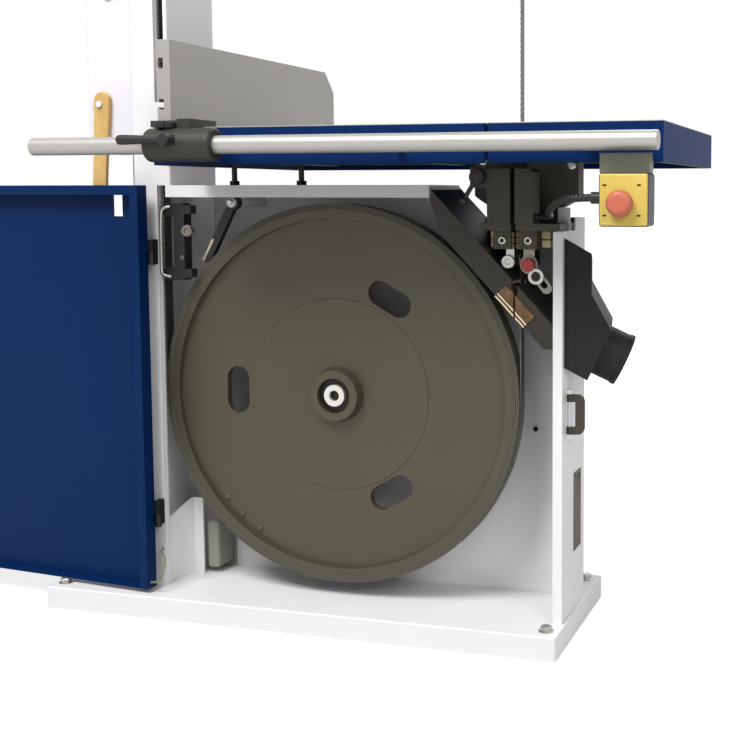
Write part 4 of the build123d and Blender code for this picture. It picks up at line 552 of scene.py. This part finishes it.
def ground(name, colour, along, roughness=0.32, metallic=0.85, lines=260.0):
    """Ground or drawn metal with fine lines along an axis and a few dull patches."""
    metal = Finish(name, colour, roughness, metallic)
    lines_at = metal.noise(lines, 4.0, along)
    patch = metal.noise(12.0, 5.0)
    metal.give("Base Color", metal.mix(lines_at, shade(colour, 0.84), shade(colour, 1.12)))
    metal.give("Roughness", roughness - 0.08 + 0.12 * lines_at + 0.12 * patch)
    metal.bump(lines_at, 0.00006, 0.4)
    return metal.material


blade_steel = ground("blade_steel", srgb(96, 94, 88), (1, 8, 0.2), 0.36)
fit(closed(joined("blade_band", [half_loop, other_half])), "frame", "blade_steel", blade_steel, "blade")

# Upper housing: the same sheet box as below, with rounded upper corners, on the column's head.
# Its slideways carry the wheel's carriage, which a screw with a handwheel lifts to strain the blade.
fit(from_cad("upper_housing", 0.8), "frame", "body_paint", grey_enamel, "upper_housing")
way_steel = ground("slideway_steel", srgb(150, 149, 146), (6, 6, 0.3))
fit(from_cad("tension_slideway", 0.6), "frame", "steel", way_steel, "tension_slideway")
fit(from_cad("tension_carriage", 1.0), "tension_carriage", "dark_iron", dark_casting, "tension_carriage")
wheel_black = casting("handwheel_black", srgb(36, 36, 38), 0.4, 260.0, 0.0002)
tension_wheel = from_cad("tension_handwheel", 0.8)
fit(tension_wheel, "tension_handwheel", "dark_iron", wheel_black, "tension_handwheel")

# Doors: trays of 2 mm sheet in navy enamel, on lift-off hinges with fixed pins.
# The lower one stands open; its hinge sleeves are black, and two screws hold its earth tag.
door_navy = srgb(4, 34, 78)
navy_enamel = enamel("navy_enamel", door_navy, 0.4, 0.06, 0.08)
door_paint = Finish("lower_door_enamel", door_navy, 0.4, 0.0, 0.08)
clouds = door_paint.noise(7.0, 5.0)
hinge_x, hinge_y, sleeve_r = -0.3378, -0.06, 0.0072
off_x, off_y = door_paint.along("X") - hinge_x, door_paint.along("Y") - hinge_y
sleeves = sleeve_r - (off_x * off_x + off_y * off_y) ** 0.5 > 0.0
door_tone = door_paint.mix(clouds, shade(door_navy, 0.94), shade(door_navy, 1.06))
door_paint.give("Base Color", door_paint.mix(sleeves, door_tone, srgb(24, 24, 25)))
door_paint.give("Roughness", 0.4 + 0.12 * clouds)
door_paint.bump(door_paint.noise(950.0, 2.0), 0.00012, 0.3)
fit(from_cad("lower_door", 0.5), "lower_door", "navy_paint", door_paint.material, "lower_door")
fit(from_cad("upper_door", 0.6), "upper_door", "navy_paint", navy_enamel, "upper_door")
knob_black = moulded("knob_black_plastic", srgb(28, 28, 29), 0.4)
fit(from_cad("upper_door_knob", 1.0), "upper_door_knob", "black_plastic", knob_black, "upper_door_knob")
fit(from_cad("door_hinge_pins", 0.6), "frame", "steel", black_zinc, "door_hinge_pins")
inside = (0.1045, -0.9945, 0)
door_screws = [cap_screw((-372, -58.4, z), inside, 4, 3) for z in (62, 81)]
fit(joined("earth_tag_screws", door_screws), "lower_door", "steel", bolt_zinc)

# Door latch: a bent D-handle of bar steel, painted dark grey.
# It swings on a pin between two ears of the right wall, and pulls the lower door shut.
latch_grey = casting("latch_grey", srgb(60, 58, 50), 0.5, 300.0, 0.0003)
fit(from_cad("door_latch", 3.0, 3), "door_latch", "dark_iron", latch_grey, "door_latch")

# Control box: a grey sheet box on the column with two push buttons and a peg.
# The push stick hangs on the peg: a bowed stick of pale lacquered wood with a notched foot.
panel_enamel = enamel("panel_enamel", srgb(214, 211, 216), 0.4)
fit(from_cad("control_box", 0.8), "frame", "panel_paint", panel_enamel, "control_box")
green_cap = moulded("green_button_plastic", srgb(40, 140, 60), 0.3)
red_cap = moulded("red_plastic", srgb(180, 98, 74), 0.4)
for button, cap, z in (("start_button", green_cap, 1210), ("stop_button", red_cap, 1160)):
    slot = "green_plastic" if button == "start_button" else "red_plastic"
    fit(from_cad(button, 1.2, 3), button, slot, cap, button)
    collar = lathe(button + "_collar", (-439.8, -22, z), front,
                   [(15, 0), (15, 1.2), (13.8, 2.4), (11, 2.4), (10.6, 0)], 40)
    fit(collar, "frame", "steel", bolt_zinc)


def timber(name, colour, dark, along):
    """Wood with long grain streaks, growth bands and open pores."""
    wood = Finish(name, colour, 0.5)
    bands = wood.noise(22.0, 3.0, along)
    fibres = wood.noise(360.0, 6.0, along)
    grain = wood.ramp(bands * 0.65 + fibres * 0.35, 0.36, 0.64)
    wood.give("Base Color", wood.mix(grain, dark, colour))
    wood.give("Roughness", 0.62 - 0.2 * grain)
    wood.bump(fibres, 0.0002, 0.4)
    return wood.material


def cut(piece, cutter):
    """Takes the cutter's shape out of a piece."""
    only(piece)
    tool = piece.modifiers.new("cut", "BOOLEAN")
    tool.object = cutter
    tool.operation = "DIFFERENCE"
    tool.solver = "EXACT"
    bpy.ops.object.modifier_apply(modifier="cut")
    bpy.data.objects.remove(cutter, do_unlink=True)
    return piece


stick_foot, stick_len, stick_x, stick_bow, stick_half_w = 577, 400, -459, 5, 17


def bowed(z):
    return stick_x + stick_bow * math.cos((z - stick_foot) / stick_len * 2 * math.pi)


def waist(z):
    return stick_half_w - 3 * math.sin(math.pi * (z - stick_foot) / stick_len)


stick_zs = [stick_foot + stick_len * i / 24 for i in range(24)]
stick_right = [(bowed(z) + waist(z), z) for z in stick_zs]
stick_left = [(2 * bowed(z) - x, z) for x, z in reversed(stick_right)]
crown_x, crown_z, crown_rise = bowed(stick_foot + stick_len), 962, 15
crown = [(crown_x + stick_half_w * math.cos(a), crown_z + crown_rise * math.sin(a))
         for a in (0.5, 1.0, 1.57, 2.14, 2.64)]
notch = [(bowed(stick_foot) + 2, 596)]
stick = flat("push_stick_wood", stick_right + crown + stick_left + notch, "XZ", -33, -23, 2.0, 3)
peg_hole = lathe("peg_hole", (-457.8, -36, 953.7), rear, [(6.3, 0), (6.3, 16)], 28)
stick_lacquer = timber("lacquered_stick_wood", srgb(200, 166, 104), srgb(172, 134, 78), (1, 1, 0.12))
fit(smoothed(cut(stick, peg_hole)), "frame", "stick_wood", stick_lacquer, "push_stick")

# Guard block at the return run: black plastic jaws beside the blade, on two lugs at the column's lip.
# A bent steel strap closes its open side, and a knurled knob and a small screw hold it.
fit(from_cad("return_run_guard", 1.2), "frame", "black_plastic", knob_black, "return_run_guard")


def cord(name, points, dia):
    """A round wire or cable along one smooth line."""
    curve = bpy.data.curves.new(name, "CURVE")
    curve.dimensions = "3D"
    curve.resolution_u = 20
    curve.bevel_depth = dia / 2 * mm
    curve.bevel_resolution = 5
    curve.use_fill_caps = True
    spline = curve.splines.new("NURBS")
    spline.points.add(len(points) - 1)
    for point, place in zip(spline.points, points):
        point.co = (*(Vector(place) * mm), 1)
    spline.order_u = 3
    spline.use_endpoint_u = True
    piece = bpy.data.objects.new(name, curve)
    bpy.context.collection.objects.link(piece)
    only(piece)
    bpy.ops.object.convert(target="MESH")
    return smoothed(closed(bpy.context.object), 60)


strap = cord("guard_strap", [(-318, -26, 763), (-334, -28, 763), (-337, -28, 745), (-338, -28, 700),
                             (-338, -28, 655), (-337, -28, 634), (-318, -26, 633)], 6)
fit(strap, "frame", "steel", bolt_zinc)
guard_knob = joined("guard_knob", [
    bar("guard_tongue", (-296, -23, 711), (-272, -17, 727), 1.6, 3),
    lathe("knob", (-282, -23, 719), front, [(10, 0), (11, 1), (11, 8), (10, 9), (5, 9), (4, 7)], 22, 12),
    cap_screw((-296, -24, 669), front, 4, 3),
])
guard_grey = plated("guard_knob_steel", srgb(118, 116, 108), 0.42)
fit(guard_knob, "frame", "steel", guard_grey)

# Wheel scraper: an iron arm on a stud, its felt edge lying along the wheel's face.
# A nut and a washer hold it on the stud.
scraper_black, felt_cream = srgb(34, 34, 33), srgb(196, 184, 158)
scraper_paint = Finish("scraper_black_and_felt", scraper_black, 0.5)
lint = scraper_paint.noise(500.0, 4.0)
stud_x, stud_z, tilt_x, tilt_z = -0.208, 0.771, 0.8829, 0.4695
felt_edge, felt_top = -0.0032, 0.703
arm_x, arm_z = scraper_paint.along("X") - stud_x, scraper_paint.along("Z")
across = arm_x * tilt_x - (arm_z - stud_z) * tilt_z
felt = (felt_edge - across > 0.0) * (felt_top - arm_z > 0.0)
felt_tone = scraper_paint.mix(lint, shade(felt_cream, 0.8), felt_cream)
scraper_paint.give("Base Color", scraper_paint.mix(felt, scraper_black, felt_tone))
scraper_paint.give("Roughness", 0.45 + 0.4 * felt * lint)
scraper_paint.bump(lint, 0.0003, 0.4)
fit(from_cad("scraper_arm", 1.0), "scraper_arm", "dark_iron", scraper_paint.material, "scraper_arm")
nut = hex_bolt((-208, 2.4, 771), front, 10, 5, 7)
fit(nut, "frame", "steel", bolt_zinc)

# Trunnion: a cradle casting on the back wall, and the segment under the table that turns in it.
# Two front slabs stand each side of the blade, and a lever at their left clamps the tilt.
fit(from_cad("trunnion_cradle", 1.4), "frame", "dark_iron", dark_casting, "trunnion_cradle")
fit(from_cad("trunnion_segment", 1.4), "table", "dark_iron", dark_casting, "trunnion_segment")
fit(from_cad("tilt_clamp_lever", 1.0), "tilt_clamp_lever", "dark_iron", wheel_black, "tilt_clamp_lever")
fit(from_cad("tilt_stop_screws", 0.5), "frame", "dark_iron", black_zinc, "tilt_stop_screws")
fit(joined("cradle_bolts", [hex_bolt((312, 40, 737), up, 13, 7, 10)]), "frame", "steel", bolt_zinc)
segment_bolt_spots = ((410, 852), (434, 838), (272, 846))
segment_bolts = [hex_bolt((x, 40, z), front, 10, 6, 8) for x, z in segment_bolt_spots]
fit(joined("segment_bolts", segment_bolts), "table", "steel", bolt_zinc)

# Lower blade guides: two iron blocks under the cradle with square pads each side of the blade.
# Behind the blade a thrust roller takes the feed, and a red knob locks its slotted link.
# A cap screw clamps each block, and a round steel knob hangs under the left one.
block_iron = casting("guide_block_iron", srgb(58, 54, 40), 0.5, 600.0, 0.0002)
# The pads are coloured paler than their ivory, as painted light against the blocks' shade.
pad_ivory_painted_lit = moulded("pad_metal_painted_lit", srgb(232, 214, 164), 0.4)
fit(from_cad("lower_guide_blocks", 0.8), "frame", "dark_iron", block_iron, "lower_guide_blocks")
fit(from_cad("lower_guide_pads", 0.5), "frame", "pad_brass", pad_ivory_painted_lit, "lower_guide_pads")
lower_roller = from_cad("lower_thrust_roller", 0.8)
fit(lower_roller, "lower_thrust_roller", "steel", shaft_steel, "lower_thrust_roller")
link_steel = plated("dull_link_steel", srgb(124, 122, 113), 0.4)
fit(from_cad("thrust_link", 0.5), "frame", "steel", link_steel, "thrust_link")
knob_red = moulded("knob_red_plastic", srgb(158, 66, 62), 0.4)
fit(from_cad("guide_lock_knob", 1.2, 3), "guide_lock_knob", "red_plastic", knob_red, "guide_lock_knob")
knob_ring = lathe("lock_knob_ring", (371.8, -14.3, 666), front,
                  [(16, 0), (16.2, 0.3), (16.2, 0.9), (15.8, 1.2), (12.6, 1.2), (12.4, 0.2)], 48)
fit(knob_ring, "guide_lock_knob", "steel", link_steel)
guide_xs, guide_z = (328.2, 374.4), 708
guide_screws = [cap_screw((x, -29, guide_z), front, 6.8, 3) for x in guide_xs]
guide_screws.append(bar("side_hanger", (331, -16, 674), (346, -9, 694), 1.2))
guide_screws.append(lathe("side_knob", (336, -14, 671), front,
                          [(11, 0), (12, 1), (12, 8), (10.6, 9.4), (5, 9.4), (4, 8)], 24, 20))
washer = [(7.4, 0), (7.4, 1.4), (14.5, 1.4), (14.5, 3.8), (13.5, 4.6), (8.6, 4.6), (8, 4), (8, 2)]
guide_screws.append(lathe("link_washer", (385, -14.2, 646), front, washer, 40))
fit(joined("guide_screws", guide_screws), "frame", "steel", bolt_zinc)
# Black discs in the bottoms of the screw sockets and the washer's hole are painted shade.
socket = [(3.3, 0), (3.3, 0.4), (1, 0.5)]
socket_shade_discs = [lathe("socket", (x, -30.2, guide_z), front, socket, 20) for x in guide_xs]
socket_shade_discs.append(lathe("washer_hole_shade", (385, -16.2, 646), front, [(8, 0), (8, 0.8), (2, 1)], 24))
fit(joined("guide_screw_socket_shades", socket_shade_discs), "frame", "dark_iron", black_zinc)
insert_brass = moulded("guide_insert_brass", srgb(90, 77, 48), 0.45, 420.0, 0.0004)
insert_w, insert_h, insert_xs, insert_zs = 4.6, 8.6, (344.6, 352.4), (694, 704, 714)
inserts = [bar("insert", (x, -27, z), (x + insert_w, 22, z + insert_h), 0.8)
           for x in insert_xs for z in insert_zs]
fit(joined("guide_inserts", inserts), "frame", "pad_brass", insert_brass)

# Guide post: a ground steel bar in a sleeve of the upper housing, with the upper guides at its foot.
# A handwheel with a pinion moves it, and a folded sheet guards the blade above the guides.
post_steel = ground("post_steel", srgb(160, 159, 156), (8, 8, 0.2))
fit(from_cad("guide_post", 0.6), "guide_post", "steel", post_steel, "guide_post")
fit(from_cad("post_sleeve", 0.8), "frame", "dark_iron", dark_casting, "post_sleeve")
fit(from_cad("guide_handwheel", 0.8), "guide_handwheel", "dark_iron", wheel_black, "guide_handwheel")
fit(from_cad("upper_guide_carrier", 0.8), "guide_post", "dark_iron", block_iron, "upper_guide_carrier")
fit(from_cad("upper_guide_pads", 0.5), "guide_post", "pad_brass", pad_ivory_painted_lit, "upper_guide_pads")
upper_roller = from_cad("upper_thrust_roller", 0.8)
fit(upper_roller, "upper_thrust_roller", "steel", shaft_steel, "upper_thrust_roller")
fit(from_cad("blade_guard", 0.4), "guide_post", "navy_paint", navy_enamel, "blade_guard")

# Table: a ribbed iron casting with navy enamel on its sides and underside, and a ground top; below the
# ribs' feet it is painted near-black as shade.
# A round insert closes the opening that the blade comes through.
table_paint = Finish("table_navy_and_ground_top", srgb(4, 36, 84), 0.4, 0.0, 0.08)
height, ground_z, rib_foot_z = table_paint.along("Z"), 0.8985, 0.8375
top = height > ground_z
strokes = table_paint.noise(240.0, 4.0, (0.25, 6, 1))
clouds = table_paint.noise(7.0, 5.0)
steel_tone = table_paint.mix(strokes, srgb(128, 127, 124), srgb(168, 167, 163))
# Below the ribs' feet the navy gives way to near-black painted shade.
under = rib_foot_z - height > 0.0
navy_and_underside_shade = table_paint.mix(clouds, srgb(3, 33, 78), srgb(5, 38, 90))
navy_and_underside_shade = table_paint.mix(under, navy_and_underside_shade, srgb(18, 26, 32))
table_paint.give("Base Color", table_paint.mix(top, navy_and_underside_shade, steel_tone))
table_paint.give("Metallic", top * 0.75)
table_paint.give("Roughness", 0.5 + 0.1 * clouds + 0.05 * strokes)
table_paint.bump(strokes * top + table_paint.noise(500.0, 4.0) * (1 - top), 0.0001, 0.35)
fit(from_cad("table", 1.0), "table", "table_iron", table_paint.material, "table")
insert_alloy = ground("insert_alloy", srgb(150, 150, 148), (4, 0.3, 1))
fit(from_cad("table_insert", 0.4), "table", "aluminium", insert_alloy, "table_insert")

# Fence: a drawn alloy rail on stand-offs along the table's front, with a sliding head on it.
# The head carries the fence plate, a tapered clamp lever in front, and a knob on top.
rail_alloy = ground("rail_alloy", srgb(168, 165, 160), (0.12, 5, 5), 0.36, 0.45, 200.0)
fit(from_cad("fence_rail", 0.8), "table", "aluminium", rail_alloy, "fence_rail")
head_iron = casting("fence_head_iron", srgb(50, 49, 43), 0.45, 500.0, 0.0002, 0.3)
fit(from_cad("fence_head", 1.4), "fence", "dark_iron", head_iron, "fence_head")
plate_alloy = ground("fence_alloy", srgb(160, 157, 153), (5, 0.12, 5), 0.4, 0.5, 160.0)
fit(from_cad("fence_plate", 0.8), "fence", "aluminium", plate_alloy, "fence_plate")
lever_x, lever_z = -169, 876
lever_arm = [(5.9, 0), (6, 14), (7, 40), (8.2, 74), (8.4, 80), (7.6, 85), (4.6, 87.6), (1, 88)]
clamp_lever = joined("clamp_lever", [
    lathe("lever_boss", (lever_x, -271.4, lever_z), front, [(10, 0), (10, 11), (9, 12), (4, 12)], 32),
    lathe("lever_arm", (lever_x, -277.3, lever_z), left, lever_arm, 28),
])
fit(clamp_lever, "fence_lever", "dark_iron", wheel_black, "fence_lever")
fit(from_cad("fence_knob", 1.2, 3), "fence_knob", "black_plastic", knob_black, "fence_knob")

# Emergency stop: a black box with a yellow lid and a red mushroom, under a plate on the table's edge.
# The plate is bolted to the table, and four small screws hold the lid.
bracket_alloy = ground("bracket_alloy", srgb(116, 117, 102), (0.3, 5, 5), 0.45, 0.4)
fit(from_cad("estop_bracket", 1.0), "table", "aluminium", bracket_alloy, "estop_bracket")
box_black = moulded("stop_box_black", srgb(30, 30, 31), 0.45)
fit(from_cad("estop_box", 0.8), "table", "yellow_plastic", box_black, "estop_box")
yellow = moulded("stop_lid_yellow", srgb(198, 172, 84), 0.4)
lid = bar("stop_lid", (548, -252.4, 740), (621, -242, 818), 3.0, 3)
stem_hole = lathe("stem_hole", (581, -262, 774), rear, [(9.5, 0), (9.5, 30)], 32)
lid = cut(lid, stem_hole)
fit(smoothed(lid), "table", "yellow_plastic", yellow)
lid_screw_xs, lid_screw_zs = (556, 608), (756, 801)
lid_screws = [bar("lid_screw", (x - 3, -252.8, z - 1.5), (x + 3, -251.4, z + 1.5), 0.6)
              for x in lid_screw_xs for z in lid_screw_zs]
fit(joined("lid_screws", lid_screws), "table", "dark_iron", black_zinc)
fit(from_cad("estop_button", 0.8, 3), "estop_button", "red_plastic", red_cap, "estop_button")

# Cables: a ribbed black one from the stop box to the trunnion's right slab, and the door's earth wire.
# Both are clamped at their two ends.
cable_black = Finish("ribbed_cable_sheath", srgb(30, 30, 29), 0.4)
ribs_per_m_y, ribs_per_m_x = 840.0, 610.0
ribs = cable_black.wave(cable_black.along("Y") * ribs_per_m_y - cable_black.along("X") * ribs_per_m_x)
rib_tone = cable_black.mix(cable_black.ramp(ribs, -1.0, 1.0), srgb(18, 18, 18), srgb(44, 44, 42))
cable_black.give("Base Color", rib_tone)
cable_black.give("Roughness", 0.36 + 0.1 * cable_black.noise(300.0))
cable_black.bump(ribs, 0.0008, 0.6)
cable = cord("stop_cable", [(529, -222, 782), (499, -222, 782), (462, -180, 775), (430, -110, 758),
                            (416, -25, 748), (386.8, -25, 748)], 12)
cable.data.materials.append(cable_black.material)
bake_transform(cable)
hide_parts("estop_cable")
wire_green = moulded("earth_wire_green", srgb(104, 122, 88), 0.4)
wire = cord("door_earth_wire", [(-346, -32, 114), (-346, -46, 114), (-326, -59, 106), (-320, -75, 84),
                                (-331, -77, 62), (-347.2, -77, 62)], 4)
wire.data.materials.append(wire_green)
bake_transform(wire)
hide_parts("earth_wire")

# Studio: a white floor that keeps the saw's shadow, and a world that is white where it is looked at.
# Soft lamps stand at the front left, the front right and behind, and the camera is the photograph's.
bpy.ops.object.select_all(action="DESELECT")
bpy.ops.mesh.primitive_plane_add(size=60, location=(0, 10, 0))
floor = bpy.context.object
floor.name = "studio_floor"
only(floor)
bpy.ops.object.transform_apply(location=True, rotation=True, scale=True)
paper = Finish("white_paper", srgb(190, 190, 190), 0.9)
paper.give("Roughness", 0.85 + 0.1 * paper.noise(3.0))
by_eye = paper.node("ShaderNodeLightPath", {}, {}, "Is Camera Ray")
by_eye = by_eye + paper.node("ShaderNodeLightPath", {}, {}, "Is Glossy Ray")
by_eye = by_eye + paper.node("ShaderNodeLightPath", {}, {}, "Is Transmission Ray")
floor_x, floor_y = paper.along("X"), paper.along("Y")
far = paper.ramp((floor_x * floor_x + floor_y * floor_y) ** 0.5, 1.0, 3.0)
glow = paper.mix(far, (0.64, 0.64, 0.64), (1.0, 1.0, 1.0))
paper.give("Emission Color", paper.mix(by_eye, (0.0, 0.0, 0.0), glow))
paper.give("Emission Strength", 1.0)
floor.data.materials.append(paper.material)

world = bpy.data.worlds.new("studio")
bpy.context.scene.world = world
world.use_nodes = True
sky = world.node_tree
seen = sky.nodes.new("ShaderNodeLightPath")
any_seen = sky.nodes.new("ShaderNodeMath")
any_seen.operation = "MAXIMUM"
sky.links.new(seen.outputs["Is Camera Ray"], any_seen.inputs[0])
glossy = sky.nodes.new("ShaderNodeMath")
glossy.operation = "MAXIMUM"
sky.links.new(seen.outputs["Is Glossy Ray"], glossy.inputs[0])
sky.links.new(seen.outputs["Is Transmission Ray"], glossy.inputs[1])
sky.links.new(glossy.outputs[0], any_seen.inputs[1])
ambient = sky.nodes["Background"]
ambient.inputs["Color"].default_value = (1, 1, 1, 1)
ambient.inputs["Strength"].default_value = 0.4
white = sky.nodes.new("ShaderNodeBackground")
white.inputs["Color"].default_value = (1, 1, 1, 1)
white.inputs["Strength"].default_value = 1.0
choose = sky.nodes.new("ShaderNodeMixShader")
sky.links.new(any_seen.outputs[0], choose.inputs[0])
sky.links.new(ambient.outputs[0], choose.inputs[1])
sky.links.new(white.outputs[0], choose.inputs[2])
sky.links.new(choose.outputs[0], sky.nodes["World Output"].inputs["Surface"])


def softbox(name, place, aim, size, watts):
    lamp = bpy.data.lights.new(name, "AREA")
    lamp.shape = "SQUARE"
    lamp.size = size
    lamp.energy = watts
    holder = bpy.data.objects.new(name, lamp)
    bpy.context.collection.objects.link(holder)
    holder.location = place
    holder.rotation_euler = (Vector(aim) - Vector(place)).to_track_quat("-Z", "Y").to_euler()


softbox("front_left_softbox", (-1.0, -3.2, 5.0), (0, 0, 0.4), 2.4, 350)
softbox("front_right_softbox", (2.8, -3.0, 3.0), (0.1, 0, 0.6), 2.0, 75)
softbox("rear_softbox", (0.5, 3.5, 3.6), (0, 0, 1.0), 2.5, 60)

eye = bpy.data.cameras.new("camera")
eye.sensor_width = 36
eye.sensor_fit = "HORIZONTAL"
focal_px, photo_px = 1237.81, 750
eye.lens = focal_px / photo_px * eye.sensor_width
eye.shift_x = -0.2
eye.shift_y = -0.1
camera = bpy.data.objects.new("camera", eye)
bpy.context.collection.objects.link(camera)
camera.location = (0.95313, -2.05925, 0.79196)
look_down, look_left = 0.087617, 0.280164
camera.rotation_euler = (math.pi / 2 - look_down, 0, look_left)
bpy.context.scene.camera = camera
bpy.context.scene.view_settings.view_transform = "Standard"
